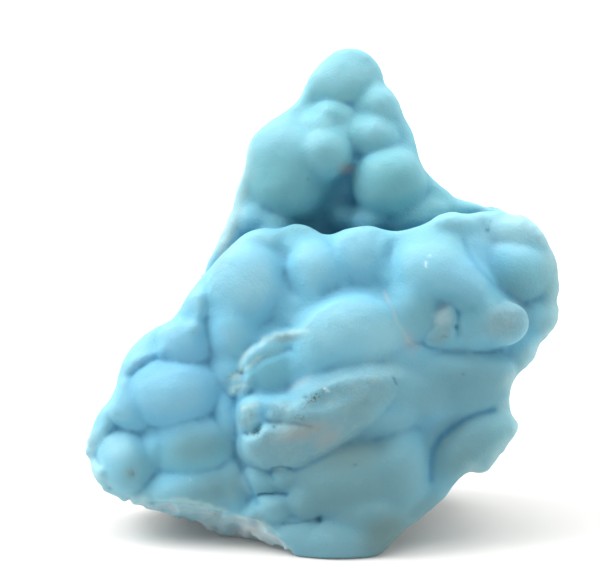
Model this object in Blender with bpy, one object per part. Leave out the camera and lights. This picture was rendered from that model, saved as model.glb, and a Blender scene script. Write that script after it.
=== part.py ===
"""Blue aragonite: a crust of rounded lobes, broken off its rock, standing on a flat foot.

The lobes, the worn tongue across the front and the broken back all grew as one piece, so the
specimen is one solid. It is shaped on its face, which leans back: across runs to the right,
up runs along the face, and out runs towards the viewer. All sizes are in millimetres.
"""

import math

import bpy
import numpy as np

MM = 0.001

FACE_LEAN = math.radians(14.0)
# Where the middle of the standing specimen is, which is put at the origin.
CENTRE_ACROSS = 0.89
CENTRE_DEPTH = 27.67
# Places on the face are given as they look from this far in front of its middle, so what lies
# deeper is spread outwards to match.
VIEW_DISTANCE = 800.0
VIEW_ACROSS = -4.0
VIEW_UP = 52.5

# The block of space that the specimen is shaped in.
ACROSS_RANGE = (-51.0, 51.0)
UP_RANGE = (-8.0, 107.0)
OUT_RANGE = (-50.0, 13.0)
GRAIN = 0.9
TRIANGLES = 9200

# Outline of the lower mass on the face, clockwise from its top left corner (across, up).
LOWER_OUTLINE = (
    (-22.4, 57.0), (-19.4, 60.4), (-17.2, 62.4), (-14.6, 64.4), (-11.6, 65.4), (-8.4, 65.0), (-5.6, 66.4),
    (-2.4, 66.0), (0.2, 64.2), (2.2, 63.8), (5.0, 65.0), (10.0, 66.0), (13.0, 65.0), (16.0, 64.6),
    (20.8, 65.8), (23.6, 67.8), (26.4, 68.6), (29.0, 68.0), (34.4, 68.8), (38.4, 68.6), (41.8, 67.4), (44.4, 65.0),
    (46.2, 62.4), (47.6, 59.6), (48.2, 56.6), (48.2, 51.6), (47.8, 47.8), (46.8, 45.2), (44.2, 41.4),
    (41.6, 38.6), (39.4, 36.4), (38.0, 33.4), (37.4, 31.0), (38.6, 28.4), (39.4, 26.2), (39.0, 24.2),
    (37.2, 21.4), (35.4, 19.0), (33.4, 17.2), (31.2, 16.6), (29.6, 17.0), (27.0, 14.6), (25.6, 12.4),
    (22.8, 10.2), (20.6, 8.4), (19.4, 7.2), (16.6, 5.4), (14.2, 3.2), (12.0, 0.8), (9.4, -1.4), (4.0, -2.4),
    (-3.8, -2.4), (-5.8, 0.4), (-6.4, 2.0), (-8.4, 2.8), (-13.2, 3.0), (-17.4, 3.2), (-20.6, 4.4),
    (-23.2, 6.0), (-26.0, 7.2), (-30.2, 8.0), (-32.2, 9.4), (-37.0, 10.2), (-40.8, 10.8), (-43.0, 12.6),
    (-43.8, 14.6), (-45.2, 16.6), (-46.6, 19.4), (-46.8, 22.4), (-45.6, 26.4), (-44.0, 29.0), (-41.6, 31.4),
    (-40.6, 34.0), (-39.8, 37.8), (-38.4, 40.8), (-36.4, 43.0), (-33.6, 45.2), (-30.4, 46.4), (-28.2, 48.6),
    (-26.6, 51.8), (-24.8, 54.2),
)
LOWER_EDGE_OUT = -9.0
LOWER_TAPER = 0.22
LOWER_SAG = 0.20

# Outline of the pinnacle, the same way round. It carries on down behind the lower mass.
PINNACLE_OUTLINE = (
    (-23.0, 57.6), (-21.4, 60.2), (-19.8, 63.6), (-18.6, 66.4), (-17.4, 69.0), (-17.0, 72.0), (-15.8, 75.0),
    (-14.8, 77.6), (-14.6, 80.4), (-13.6, 83.2), (-11.8, 85.2), (-9.2, 86.9), (-6.6, 88.6), (-4.6, 90.6),
    (-3.2, 93.0), (-2.0, 95.4), (-0.4, 97.8), (1.8, 100.0), (5.0, 101.4), (8.6, 100.8), (11.0, 99.0),
    (12.3, 96.6), (12.5, 94.0), (14.4, 92.4), (16.0, 90.0), (16.7, 87.4), (18.3, 85.0), (19.1, 82.0),
    (19.6, 79.0), (21.0, 76.4), (23.0, 74.6), (24.8, 72.9), (26.6, 71.4), (29.4, 70.5), (33.6, 69.2),
    (38.4, 67.4), (41.0, 60.0), (36.0, 46.0), (0.0, 34.0), (-24.0, 46.0),
)
PINNACLE_EDGE_OUT = -23.0
PINNACLE_TAPER = 0.16
# The hollow behind the two big balls of the pinnacle: places on its floor (across, up, out, size).
RECESS_FLOOR = (
    (5.0, 78.0, -15.5, 3.0),
    (4.6, 72.6, -19.5, 6.0),
    (4.6, 66.0, -20.5, 6.0),
    (0.0, 68.0, -18.0, 4.0),
    (12.0, 66.0, -17.0, 5.0),
    (-14.0, 63.0, -14.0, 4.0),
)

# The broken back, as flat facets: a point on each (across, up, out) and how fast it comes
# forward to the left and upwards.
BACK_FACETS = (
    (0.0, 25.0, -44.0, 0.05, 0.04),
    (-6.0, 70.0, -43.0, -0.06, 0.16),
    (-33.0, 28.0, -35.0, 0.75, 0.02),
    (31.0, 30.0, -38.0, -0.55, -0.05),
    (34.0, 58.0, -35.0, -0.60, 0.25),
    (-14.0, 62.0, -38.0, 0.45, 0.20),
    (8.0, 92.0, -36.0, -0.10, 0.42),
)

# Every lobe: across, up, out of its crown, half width, half height, depth and roll in degrees.
# The spread of a group says how far its lobes run on under their neighbours.
PINNACLE_LOBES = (
    (5.0, 94.6, -13.0, 6.6, 6.0, 9.0, 0),
    (-0.2, 93.6, -15.5, 3.4, 4.6, 7.0, 28),
    (-4.2, 89.2, -15.6, 3.6, 3.2, 6.0, 40),
    (-1.0, 85.4, -11.4, 3.4, 3.0, 5.0, 0),
    (3.6, 84.8, -12.0, 2.8, 3.8, 5.0, 0),
    (0.2, 80.6, -6.9, 4.6, 4.8, 7.5, 0),
    (-4.6, 80.4, -8.4, 4.6, 5.2, 9.0, 0),
    (11.4, 89.6, -13.0, 4.8, 4.4, 7.5, 0),
    (10.8, 83.4, -11.4, 5.0, 5.2, 8.5, 0),
    (-7.6, 80.2, -8.2, 6.4, 6.6, 10.5, 10),
    (-6.6, 74.8, -7.6, 6.6, 7.0, 11.0, 0),
    (16.0, 85.4, -16.0, 3.0, 5.4, 8.0, 14),
    (17.4, 80.2, -15.0, 2.9, 3.8, 6.0, 10),
    (14.2, 74.6, -6.5, 6.1, 5.8, 8.0, 0),
    (22.6, 71.8, -13.5, 4.8, 3.8, 7.0, 40),
    (19.6, 67.4, -9.5, 6.6, 3.6, 7.0, 15),
    (29.0, 69.0, -13.0, 6.6, 2.6, 6.0, 18),
    (4.8, 67.6, -15.0, 2.7, 2.5, 4.5, 0),
    (10.4, 66.6, -10.5, 4.2, 3.0, 6.0, 0),
    (-13.4, 67.0, -10.0, 3.4, 3.0, 6.0, 0),
    (-9.4, 65.6, -9.5, 3.2, 2.6, 5.0, 0),
    (-15.2, 71.4, -13.5, 2.3, 4.8, 6.0, -12),
    (-16.8, 65.6, -12.0, 2.6, 4.8, 6.0, -22),
    (-19.2, 60.6, -11.0, 2.8, 5.0, 6.0, -28),
)
KNOB_LOBES = (
    (11.8, 90.4, -12.4, 4.6, 4.0, 7.0, 0),
    (10.4, 84.2, -10.2, 4.4, 4.2, 7.0, 0),
    (2.2, 88.2, -11.8, 3.4, 2.6, 4.5, 0),
    (-0.4, 85.6, -10.4, 3.6, 2.8, 5.0, 0),
)
LEDGE_LOBES = (
    (-12.8, 62.2, -3.8, 4.6, 2.6, 5.0, 10),
    (-4.0, 64.0, -7.5, 5.0, 2.2, 5.0, 0),
    (-4.6, 60.8, -4.0, 3.6, 2.6, 5.0, 0),
    (-15.0, 52.8, 1.5, 6.0, 7.2, 9.0, -10),
    (-16.8, 45.4, 1.1, 4.5, 6.0, 8.5, -10),
    (-7.8, 51.0, -1.6, 3.4, 3.6, 4.5, 0),
    (-0.8, 56.2, 0.8, 4.3, 4.9, 7.0, 10),
    (8.0, 58.8, -0.2, 5.0, 5.8, 8.0, 5),
    (13.6, 61.4, -3.2, 2.6, 3.4, 5.0, 0),
    (-5.8, 47.6, -1.0, 3.6, 3.2, 4.0, 0),
)
CENTRE_LOBES = (
    (5.0, 45.2, 3.8, 8.8, 6.0, 9.0, 6),
    (12.6, 44.8, 2.8, 6.0, 5.8, 8.0, 0),
    (1.2, 42.4, 3.4, 6.0, 5.6, 8.5, 0),
    (-1.6, 39.6, 2.9, 4.4, 5.6, 7.5, 0),
    (6.4, 40.4, 2.6, 7.4, 4.0, 7.0, 0),
    (-9.2, 37.8, 1.5, 6.4, 6.4, 6.0, 0),
    (-18.0, 36.6, -1.0, 2.8, 3.0, 4.0, 0),
)
BULGE_LOBES = (
    (22.2, 61.4, -0.2, 4.2, 3.0, 6.0, 10),
    (22.8, 56.8, 4.8, 6.6, 5.9, 10.0, -8),
    (30.2, 51.6, 3.8, 6.6, 4.0, 8.5, -48),
    (27.0, 54.8, 4.7, 6.4, 4.4, 9.0, -30),
    (29.0, 46.6, 3.6, 8.8, 5.4, 9.0, 4),
    (19.2, 50.2, 3.2, 4.6, 6.4, 8.0, -10),
)
SHOULDER_LOBES = (
    (25.6, 66.4, -1.0, 4.2, 2.0, 5.0, 0),
    (38.2, 64.2, -4.4, 7.2, 4.0, 8.0, -8),
    (38.6, 56.8, -1.8, 6.2, 5.0, 8.0, -10),
    (45.2, 51.8, -6.4, 2.7, 6.6, 6.5, 0),
    (43.0, 47.0, -4.4, 3.8, 3.8, 6.5, 0),
    (40.0, 42.0, -4.2, 4.6, 3.2, 6.5, 45),
)
CHIP_LOBES = (
    (36.6, 46.2, 1.8, 5.4, 4.4, 2.4, 10),
)
RIGHT_FLANK_LOBES = (
    (29.0, 33.6, 0.8, 8.2, 6.0, 8.0, 0),
    (21.6, 33.2, 2.0, 5.4, 6.0, 7.0, 0),
    (26.6, 37.2, 1.6, 8.0, 3.0, 5.0, 0),
    (35.4, 33.4, -3.4, 3.2, 4.6, 6.0, 0),
    (17.4, 38.6, 1.6, 4.8, 2.6, 4.5, 18),
    (30.6, 22.4, 0.3, 8.0, 3.9, 7.0, 37),
    (24.8, 14.6, -2.4, 5.8, 3.4, 7.0, 50),
    (37.0, 26.0, -3.4, 2.4, 3.2, 5.0, 0),
)
FOOT_LOBES = (
    (5.6, 14.4, 5.0, 11.2, 7.4, 9.0, 0),
    (9.4, 8.2, 4.7, 6.6, 4.0, 8.0, 0),
    (4.6, 3.0, 4.2, 10.6, 5.0, 9.0, 4),
    (15.4, 16.4, 3.9, 4.8, 7.4, 8.0, -4),
    (-8.8, 9.4, 2.8, 3.5, 2.5, 5.0, 0),
    (-11.4, 14.8, 1.8, 3.3, 2.6, 4.5, 0),
    (-7.0, 15.4, 3.2, 2.1, 1.8, 3.5, 0),
    (-2.8, 10.6, 4.0, 2.9, 2.6, 4.5, 0),
    (-13.0, 7.6, 0.2, 1.6, 1.4, 3.0, 0),
    (-4.2, 4.2, 2.6, 4.2, 3.4, 6.0, 0),
)
TONGUE_LOBES = (
    (-7.0, 23.2, 3.4, 7.6, 4.6, 5.5, 6),
    (1.6, 27.4, 4.0, 7.2, 4.8, 5.5, 25),
    (9.0, 31.4, 3.8, 7.4, 4.8, 5.5, 20),
    (15.6, 33.0, 3.2, 5.0, 4.4, 5.0, 20),
    (13.4, 27.4, 3.2, 5.4, 2.8, 5.0, 10),
    (-12.4, 21.4, 3.0, 3.2, 2.8, 5.0, 0),
    (-6.6, 29.2, 3.9, 2.8, 2.1, 3.8, 0),
    (-13.4, 27.4, 3.3, 2.7, 3.4, 4.5, 0),
    (-10.4, 26.4, 3.0, 2.4, 3.0, 4.0, 0),
    (-3.6, 27.6, 4.1, 3.2, 2.6, 4.0, 20),
    (-11.4, 29.8, 2.4, 3.0, 1.4, 3.5, 0),
    (-1.6, 32.4, 3.7, 3.6, 2.6, 4.0, 30),
    (5.0, 34.4, 3.6, 6.0, 2.8, 4.5, 12),
    (11.0, 35.0, 3.0, 4.5, 2.6, 4.0, 0),
)
LEFT_FLANK_LOBES = (
    (-24.4, 49.4, -3.2, 2.8, 5.4, 7.0, -22),
    (-22.8, 54.8, -5.6, 2.6, 4.0, 6.0, -35),
    (-26.8, 42.0, -0.8, 4.5, 4.3, 7.0, -8),
    (-35.0, 39.4, -5.2, 4.4, 6.6, 8.5, -30),
    (-28.6, 32.2, 1.4, 7.2, 5.3, 9.0, 6),
    (-37.4, 29.8, -2.2, 3.6, 4.4, 7.0, 20),
    (-43.0, 27.4, -7.0, 2.8, 4.8, 6.5, -15),
    (-44.8, 21.2, -8.5, 2.2, 4.6, 5.5, 0),
    (-38.2, 18.4, -2.0, 4.8, 5.2, 8.0, 0),
    (-32.6, 21.6, -2.6, 2.8, 3.4, 5.5, 0),
    (-24.4, 21.8, 0.3, 7.0, 5.4, 8.0, 6),
    (-23.6, 13.4, -0.6, 8.8, 4.4, 7.0, 12),
    (-17.2, 14.4, -0.6, 3.8, 4.8, 7.0, 10),
    (-18.6, 27.4, -0.6, 2.1, 4.6, 5.0, 10),
)
# Each group: its lobes, their spread, and how softly they run into one another.
LOWER_GROUPS = (
    (LEDGE_LOBES, 1.50, 1.2),
    (CENTRE_LOBES, 1.40, 1.7),
    (BULGE_LOBES, 1.33, 2.2),
    (SHOULDER_LOBES, 1.46, 1.2),
    (RIGHT_FLANK_LOBES, 1.46, 1.5),
    (FOOT_LOBES, 1.42, 1.3),
    (LEFT_FLANK_LOBES, 1.51, 1.0),
    (TONGUE_LOBES, 1.20, 2.0),
    (CHIP_LOBES, 1.00, 1.0),
)
LEVEL_GROUPS = 7
PINNACLE_GROUPS = (
    (PINNACLE_LOBES, 1.28, 2.0),
    (KNOB_LOBES, 1.15, 1.3),
)

# Plates with a broken edge that stand proud of the face, or lie sunk in it where their height is
# negative.
LOWER_LAYER = (
    (-15.6, 22.6), (-15.0, 19.4), (-12.4, 17.8), (-8.8, 17.2), (-3.2, 18.6), (2.4, 21.4), (6.6, 24.2),
    (10.8, 27.4), (13.2, 29.8), (15.0, 32.4), (15.6, 36.0), (10.0, 36.6), (4.0, 35.4), (-1.0, 33.6),
    (-5.0, 30.4), (-9.0, 26.0), (-11.8, 25.4), (-14.0, 24.4),
)
UPPER_LAYER = (
    (-9.8, 27.4), (-8.6, 31.2), (-5.4, 31.6), (-4.0, 34.0), (0.0, 35.8), (5.0, 37.2), (11.0, 37.6),
    (16.6, 36.8), (15.0, 34.6), (11.0, 32.4), (6.0, 29.6), (1.0, 27.2), (-4.0, 26.2),
)
TONGUE_RIM = (
    (2.0, 21.8), (6.8, 24.6), (10.8, 27.6), (13.2, 30.0), (15.0, 32.4), (13.8, 32.8), (11.4, 30.8),
    (8.4, 28.6), (4.8, 26.2), (1.4, 23.8),
)
OUTER_SCALE = (
    (-16.0, 37.2), (-15.4, 39.6), (-14.0, 41.2), (-11.6, 42.2), (-10.6, 43.8), (-7.0, 44.8), (-3.6, 45.8),
    (-2.0, 48.0), (0.2, 49.8), (3.2, 51.3), (6.4, 52.0), (9.6, 51.8), (12.2, 50.6), (14.6, 48.4),
    (17.0, 45.0), (19.6, 41.6),
    (17.6, 38.0), (15.8, 35.6), (15.0, 32.4), (13.2, 29.8), (10.8, 27.4), (6.6, 24.2), (2.4, 21.4),
    (-3.2, 18.6), (-8.8, 17.2), (-12.4, 17.8), (-15.0, 19.4), (-15.8, 22.6), (-16.4, 26.0), (-16.4, 30.0),
    (-15.6, 33.6), (-14.8, 36.2),
)
INNER_SCALE = (
    (-13.8, 36.0), (-13.0, 38.6), (-11.4, 40.2), (-9.6, 41.4), (-6.6, 42.6), (-4.4, 42.4), (-5.4, 39.4),
    (-5.8, 36.0), (-6.0, 33.0), (-9.0, 31.8), (-12.4, 33.0),
)
CRUST_SCALE = (
    (-18.0, 33.0), (-17.8, 35.0), (-16.0, 36.0), (-14.6, 37.4), (-13.4, 37.0), (-13.6, 34.4), (-14.8, 32.4),
    (-16.8, 32.0),
)
SHARD_SCALE = (
    (-18.0, 32.4), (-17.4, 34.6), (-15.4, 35.8), (-13.8, 35.2), (-14.2, 33.0), (-16.0, 31.4),
)
UNDER_PLATE = (
    (4.6, 23.2), (8.0, 23.6), (16.0, 24.6), (19.4, 26.0), (19.6, 30.0), (17.0, 32.0), (13.0, 30.0),
    (9.0, 26.6),
)
LEFT_CHIP = (
    (26.4, 49.8), (27.2, 47.0), (26.4, 43.6), (24.2, 42.4), (21.6, 42.0), (21.2, 43.6), (23.2, 45.0),
    (22.8, 47.4), (24.8, 49.2),
)
RIGHT_CHIP = (
    (33.2, 47.4), (34.4, 49.0), (37.6, 50.2), (40.4, 49.8), (41.4, 48.2), (41.4, 45.0), (39.8, 42.6),
    (37.0, 42.0), (34.2, 43.4), (33.2, 45.4),
)
# Each plate: its outline, its height and how softly its edge falls.
PLATES = (
    (LOWER_LAYER, 0.7, 1.6),
    (UPPER_LAYER, 0.35, 2.6),
    (TONGUE_RIM, 0.3, 1.4),
    (OUTER_SCALE, 1.1, 0.8),
    (INNER_SCALE, -0.4, 1.6),
    (CRUST_SCALE, 0.6, 1.2),
    (SHARD_SCALE, 0.5, 1.0),
    (UNDER_PLATE, 0.6, 1.6),
)
CHIPS = (
    (LEFT_CHIP, 0.7, 0.8),
    (RIGHT_CHIP, 0.5, 1.4),
)
# The plates thin out to nothing between these two places across the face.
PLATES_FADE = (10.0, 18.0)
# Sunken places: across, up, half width, half height, depth.
HOLLOWS = (
    (-7.4, 34.0, 2.6, 2.2, 0.2),
    (27.4, 49.8, 4.6, 2.4, 0.5),
    (30.0, 47.0, 2.8, 3.0, 0.7),
)
# The skin of lobes ends along this line at the lower left; below it the broken crust falls back.
SKIN_EDGE = (
    (-46.0, 12.0), (-41.0, 10.8), (-32.0, 10.4), (-24.2, 10.0), (-19.0, 8.4), (-15.6, 7.8), (-12.4, 7.0),
    (-9.0, 4.0), (-6.0, 1.8), (-5.0, 0.0),
)
CRUST_SLOPE = 1.6

LEVEL_REACH = 5.5
LOWER_CREASES = 0.38
PINNACLE_CREASES = 0.34
EDGE_ROUNDING = 1.8
PINCH_FILL = 0.04


def blend(first, second, softness):
    """The larger of two fields, with the crease between them filled to a soft fillet."""
    share = np.clip(0.5 + 0.5 * (first - second) / softness, 0.0, 1.0)
    return second + (first - second) * share + softness * share * (1.0 - share)


def trim(first, second, softness):
    """The smaller of two fields, with the edge between them rounded."""
    return -blend(-first, -second, softness)


def spread_with_depth(across, up, out):
    """Where a place seen on the face lies once it is this far out."""
    scale = 1.0 - out / VIEW_DISTANCE
    return VIEW_ACROSS + (across - VIEW_ACROSS) * scale, VIEW_UP + (up - VIEW_UP) * scale


def seen_outline(outline, out):
    return np.array([spread_with_depth(across, up, out) for across, up in outline])


def rounded(points, passes=2):
    """Cut the corners of a closed outline until it runs smoothly."""
    for _ in range(passes):
        following = np.roll(points, -1, axis=0)
        pairs = np.stack((0.75 * points + 0.25 * following, 0.25 * points + 0.75 * following), axis=1)
        points = pairs.reshape(-1, 2)
    return points


def distance_to_segment(across, up, start, end):
    run = end - start
    length = max(float(run @ run), 1e-9)
    along = np.clip(((across - start[0]) * run[0] + (up - start[1]) * run[1]) / length, 0.0, 1.0)
    return np.hypot(across - start[0] - along * run[0], up - start[1] - along * run[1])


def depth_inside(outline, across, up):
    """Distance in from a closed outline, negative outside it."""
    nearest = np.full(across.shape, 1e6)
    inside = np.zeros(across.shape, dtype=bool)
    for start, end in zip(outline, np.roll(outline, -1, axis=0)):
        nearest = np.minimum(nearest, distance_to_segment(across, up, start, end))
        if start[1] == end[1]:
            continue
        crossing = start[0] + (up - start[1]) * (end[0] - start[0]) / (end[1] - start[1])
        straddles = (start[1] > up) != (end[1] > up)
        inside ^= straddles & (across < crossing)
    return np.where(inside, nearest, -nearest)


def side_of_line(line, across, up):
    """Distance from an open line, positive below it as the line runs from left to right."""
    nearest = np.full(across.shape, 1e6)
    side = np.ones(across.shape)
    for start, end in zip(line, line[1:]):
        start = np.array(start)
        end = np.array(end)
        distance = distance_to_segment(across, up, start, end)
        turn = (end[0] - start[0]) * (up - start[1]) - (end[1] - start[1]) * (across - start[0])
        closer = distance < nearest
        side = np.where(closer, np.where(turn < 0.0, 1.0, -1.0), side)
        nearest = np.where(closer, distance, nearest)
    return nearest * side


def smooth_noise(axes, wavelength, seed):
    """Smooth random values from -1 to 1 over the block, varying over this many millimetres."""
    rng = np.random.default_rng(seed)
    weights = []
    for axis in axes:
        place = (axis - axis[0]) / wavelength
        knots = np.arange(int(place[-1]) + 4)
        offset = np.abs(place[:, None] + 1.0 - knots[None, :])
        near = 2.0 / 3.0 - offset ** 2 + offset ** 3 / 2.0
        far = (2.0 - offset) ** 3 / 6.0
        weights.append(np.where(offset < 1.0, near, np.where(offset < 2.0, far, 0.0)))
    values = rng.uniform(-1.0, 1.0, [w.shape[1] for w in weights])
    for w in weights:
        values = np.tensordot(values, w, axes=(0, 1))
    return values * 1.8


def crease_level(lobes, share, across, up):
    """How far out the creases between the lobes lie, as a smooth surface over the face."""
    total = np.full(across.shape, 1e-9)
    level = np.zeros(across.shape)
    for lobe_across, lobe_up, crown, half_width, half_height, depth, _ in lobes:
        near = ((across - lobe_across) ** 2 + (up - lobe_up) ** 2) / (2.0 * LEVEL_REACH ** 2)
        weight = np.exp(-near) * half_width * half_height + 1e-9
        total += weight
        level += weight * (crown - share * depth)
    return level / total


def add_lobes(field, axes, groups, lift):
    """Grow every lobe into the field, looking only at the part of the block around it."""
    for lobes, spread, softness in groups:
        for across, up, crown, half_width, half_height, depth, roll in lobes:
            middle_out = crown - depth
            middle = (*spread_with_depth(across, up, crown), middle_out)
            sizes = (half_width * spread, half_height * spread, depth)
            reach = max(sizes[0], sizes[1]) + 3.0
            reaches = (reach, reach, depth + 3.0)
            box = tuple(
                slice(*np.searchsorted(axis, (centre - r, centre + r)))
                for axis, centre, r in zip(axes, middle, reaches)
            )
            a, u, o = np.meshgrid(*(axis[part] for axis, part in zip(axes, box)), indexing="ij", sparse=True)
            a = a - middle[0]
            u = u - middle[1]
            o = o - middle[2] - lift[box[0], box[1], None]
            turn = math.radians(roll)
            along = a * math.cos(turn) + u * math.sin(turn)
            rise = u * math.cos(turn) - a * math.sin(turn)
            ratio = np.sqrt((along / sizes[0]) ** 2 + (rise / sizes[1]) ** 2 + (o / sizes[2]) ** 2) + 1e-6
            steepness = np.sqrt(
                (along / sizes[0] ** 2) ** 2 + (rise / sizes[1] ** 2) ** 2 + (o / sizes[2] ** 2) ** 2
            ) + 1e-6
            inside = ratio * (1.0 - ratio) / steepness
            field[box] = blend(field[box], np.minimum(inside, min(sizes)), softness)


def face_lift(across, up):
    """Plates that stand proud of the face, hollows sunk into it and the crust that falls back."""
    lift = np.zeros(across.shape)
    thinning = np.clip((PLATES_FADE[1] - across) / (PLATES_FADE[1] - PLATES_FADE[0]), 0.0, 1.0)
    for plates, share in ((PLATES, thinning), (CHIPS, 1.0)):
        for outline, height, softness in plates:
            depth = depth_inside(rounded(seen_outline(outline, 0.0), 1), across, up)
            lift += share * height * np.clip(0.5 + depth / softness, 0.0, 1.0)
    for middle_across, middle_up, half_width, half_height, depth in HOLLOWS:
        ratio = ((across - middle_across) / half_width) ** 2 + ((up - middle_up) / half_height) ** 2
        lift -= depth * np.exp(-ratio ** 1.5)
    below = side_of_line(SKIN_EDGE, across, up)
    lift -= CRUST_SLOPE * np.clip(below, 0.0, 12.0) * np.clip((-3.0 - across) / 4.0, 0.0, 1.0)
    return lift


def side_walls(outline, edge_out, taper, sag, axes):
    """Distance in from the sides, which draw in and sag towards the back."""
    across, up = np.meshgrid(axes[0], axes[1], indexing="ij")
    flat = depth_inside(rounded(seen_outline(outline, edge_out)), across, up)
    walls = np.empty([len(axis) for axis in axes])
    for index, out in enumerate(axes[2]):
        behind = max(edge_out - out, 0.0)
        steps = sag * behind / (axes[1][1] - axes[1][0])
        whole = int(steps)
        part = steps - whole
        moved = np.pad(flat, ((0, 0), (0, whole + 1)), mode="edge")
        count = flat.shape[1]
        moved = moved[:, whole:whole + count] * (1.0 - part) + moved[:, whole + 1:whole + 1 + count] * part
        walls[:, :, index] = moved - taper * behind
    return walls


def back_of(axes):
    across, up, out = np.meshgrid(*axes, indexing="ij", sparse=True)
    field = None
    for facet_across, facet_up, facet_out, leftwards, upwards in BACK_FACETS:
        plane = facet_out - leftwards * (across - facet_across) + upwards * (up - facet_up)
        inside = (out - plane) / math.sqrt(1.0 + leftwards ** 2 + upwards ** 2)
        field = inside if field is None else trim(field, inside, 1.5)
    return field


def specimen_field(axes, lift):
    """Distance in from the surface at each point of the block, and how far below the grown skin it is."""
    across, up = np.meshgrid(axes[0], axes[1], indexing="ij")
    out = axes[2][None, None, :]
    lower_lobes = [lobe for group in LOWER_GROUPS[:LEVEL_GROUPS] for lobe in group[0]]
    level = crease_level(lower_lobes, LOWER_CREASES, across, up) + lift
    lower = np.repeat(level[:, :, None], len(axes[2]), axis=2) - out
    add_lobes(lower, axes, LOWER_GROUPS, lift)
    floor_lobes = [(a, u, o, size, size, 0.0, 0) for a, u, o, size in RECESS_FLOOR]
    level = crease_level(PINNACLE_LOBES + tuple(floor_lobes), PINNACLE_CREASES, across, up)
    pinnacle = np.repeat(level[:, :, None], len(axes[2]), axis=2) - out
    add_lobes(pinnacle, axes, PINNACLE_GROUPS, np.zeros_like(lift))
    lower_skin = lower
    pinnacle_skin = pinnacle
    roughness = 3.0 * smooth_noise(axes, 15.0, 2) + 1.7 * smooth_noise(axes, 8.0, 3)
    roughness = roughness + 0.7 * smooth_noise(axes, 4.0, 4) - 0.8
    walls = side_walls(LOWER_OUTLINE, LOWER_EDGE_OUT, LOWER_TAPER, LOWER_SAG, axes)
    behind_edge = np.clip((LOWER_EDGE_OUT - 3.0 - out) / 14.0, 0.0, 1.0)
    lower = trim(lower, walls + roughness * behind_edge, EDGE_ROUNDING)
    walls = side_walls(PINNACLE_OUTLINE, PINNACLE_EDGE_OUT, PINNACLE_TAPER, 0.0, axes)
    behind_edge = np.clip((PINNACLE_EDGE_OUT - 3.0 - out) / 10.0, 0.0, 1.0)
    pinnacle = trim(pinnacle, walls + roughness * behind_edge, EDGE_ROUNDING)
    skin_depth = np.where(lower >= pinnacle, lower_skin, pinnacle_skin)
    field = blend(lower, pinnacle, 1.0)
    return trim(field, back_of(axes) + roughness, EDGE_ROUNDING), skin_depth


def settled(field):
    """The field averaged a little with its neighbours, so that no wall is thinner than the grain."""
    for axis in range(3):
        ends = ((1, 1) if other == axis else (0, 0) for other in range(3))
        padded = np.moveaxis(np.pad(field, tuple(ends), mode="edge"), axis, 0)
        averaged = 0.25 * padded[:-2] + 0.5 * padded[1:-1] + 0.25 * padded[2:]
        field = np.moveaxis(averaged, 0, axis)
    return field


def without_pinches(field):
    """Fill each grid square that is inside at two opposite corners only, where the skin would meet itself."""
    for _ in range(3):
        for first, second in ((0, 1), (0, 2), (1, 2)):
            corners = []
            for ends in ((0, 0), (1, 1), (0, 1), (1, 0)):
                place = [slice(None)] * 3
                place[first] = slice(ends[0], field.shape[first] - 1 + ends[0])
                place[second] = slice(ends[1], field.shape[second] - 1 + ends[1])
                corners.append(field[tuple(place)])
            low, high, left, right = (corner > 0.0 for corner in corners)
            pinched = (low & high & ~left & ~right) | (left & right & ~low & ~high)
            for corner in corners:
                corner[pinched] = np.maximum(corner[pinched], PINCH_FILL)
    return field


def corners_of(cells):
    for a in (0, 1):
        for u in (0, 1):
            for o in (0, 1):
                yield (a, u, o)


def surface_of(field, axes):
    """The closed skin where the field is zero: one vertex in each cell it crosses, joined by quads."""
    inside = field > 0.0
    count = np.zeros([n - 1 for n in field.shape], dtype=np.int8)
    size = count.shape
    for a, u, o in corners_of(count):
        count += inside[a:a + size[0], u:u + size[1], o:o + size[2]]
    cells = np.argwhere((count > 0) & (count < 8))
    number = np.full(size, -1, dtype=np.int64)
    number[tuple(cells.T)] = np.arange(len(cells))
    places = np.zeros((len(cells), 3))
    crossings = np.zeros(len(cells))
    quads = []
    for axis in range(3):
        step = np.eye(3, dtype=int)[axis]
        sides = [np.eye(3, dtype=int)[other] for other in range(3) if other != axis]
        for first in (0, 1):
            for second in (0, 1):
                start = cells + first * sides[0] + second * sides[1]
                value = field[tuple(start.T)]
                end_value = field[tuple((start + step).T)]
                crossed = (value > 0.0) != (end_value > 0.0)
                share = np.where(crossed, value / np.where(crossed, value - end_value, 1.0), 0.0)
                places += np.where(crossed[:, None], start + share[:, None] * step, 0.0)
                crossings += crossed
        near = inside[tuple(slice(0, -1) if other == axis else slice(1, -1) for other in range(3))]
        far = inside[tuple(slice(1, None) if other == axis else slice(1, -1) for other in range(3))]
        edges = np.argwhere(near != far)
        leaving = near[tuple(edges.T)]
        base = edges + 1 - step
        ring = [base - sides[0] - sides[1], base - sides[1], base, base - sides[0]]
        faces = np.stack([number[tuple(cell.T)] for cell in ring], axis=1)
        flip = leaving if axis != 1 else ~leaving
        quads.append(np.where(flip[:, None], faces, faces[:, ::-1]))
    places /= crossings[:, None]
    spacing = np.array([axis[1] - axis[0] for axis in axes])
    origin = np.array([axis[0] for axis in axes])
    return origin + places * spacing, np.concatenate(quads)


def standing(points):
    """Points on the leaning face, as metres in the object's own axes."""
    across, up, out = points.T
    back = up * math.sin(FACE_LEAN) - out * math.cos(FACE_LEAN)
    height = up * math.cos(FACE_LEAN) + out * math.sin(FACE_LEAN)
    return np.stack((across - CENTRE_ACROSS, back - CENTRE_DEPTH, height), axis=1) * MM


def block_axes(grain):
    return [np.arange(low, high, grain) for low, high in (ACROSS_RANGE, UP_RANGE, OUT_RANGE)]


def add_object(name, points, faces):
    mesh = bpy.data.meshes.new(name)
    mesh.from_pydata(points.tolist(), [], faces.tolist())
    mesh.validate()
    piece = bpy.data.objects.new(name, mesh)
    bpy.context.scene.collection.objects.link(piece)
    return piece


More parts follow.
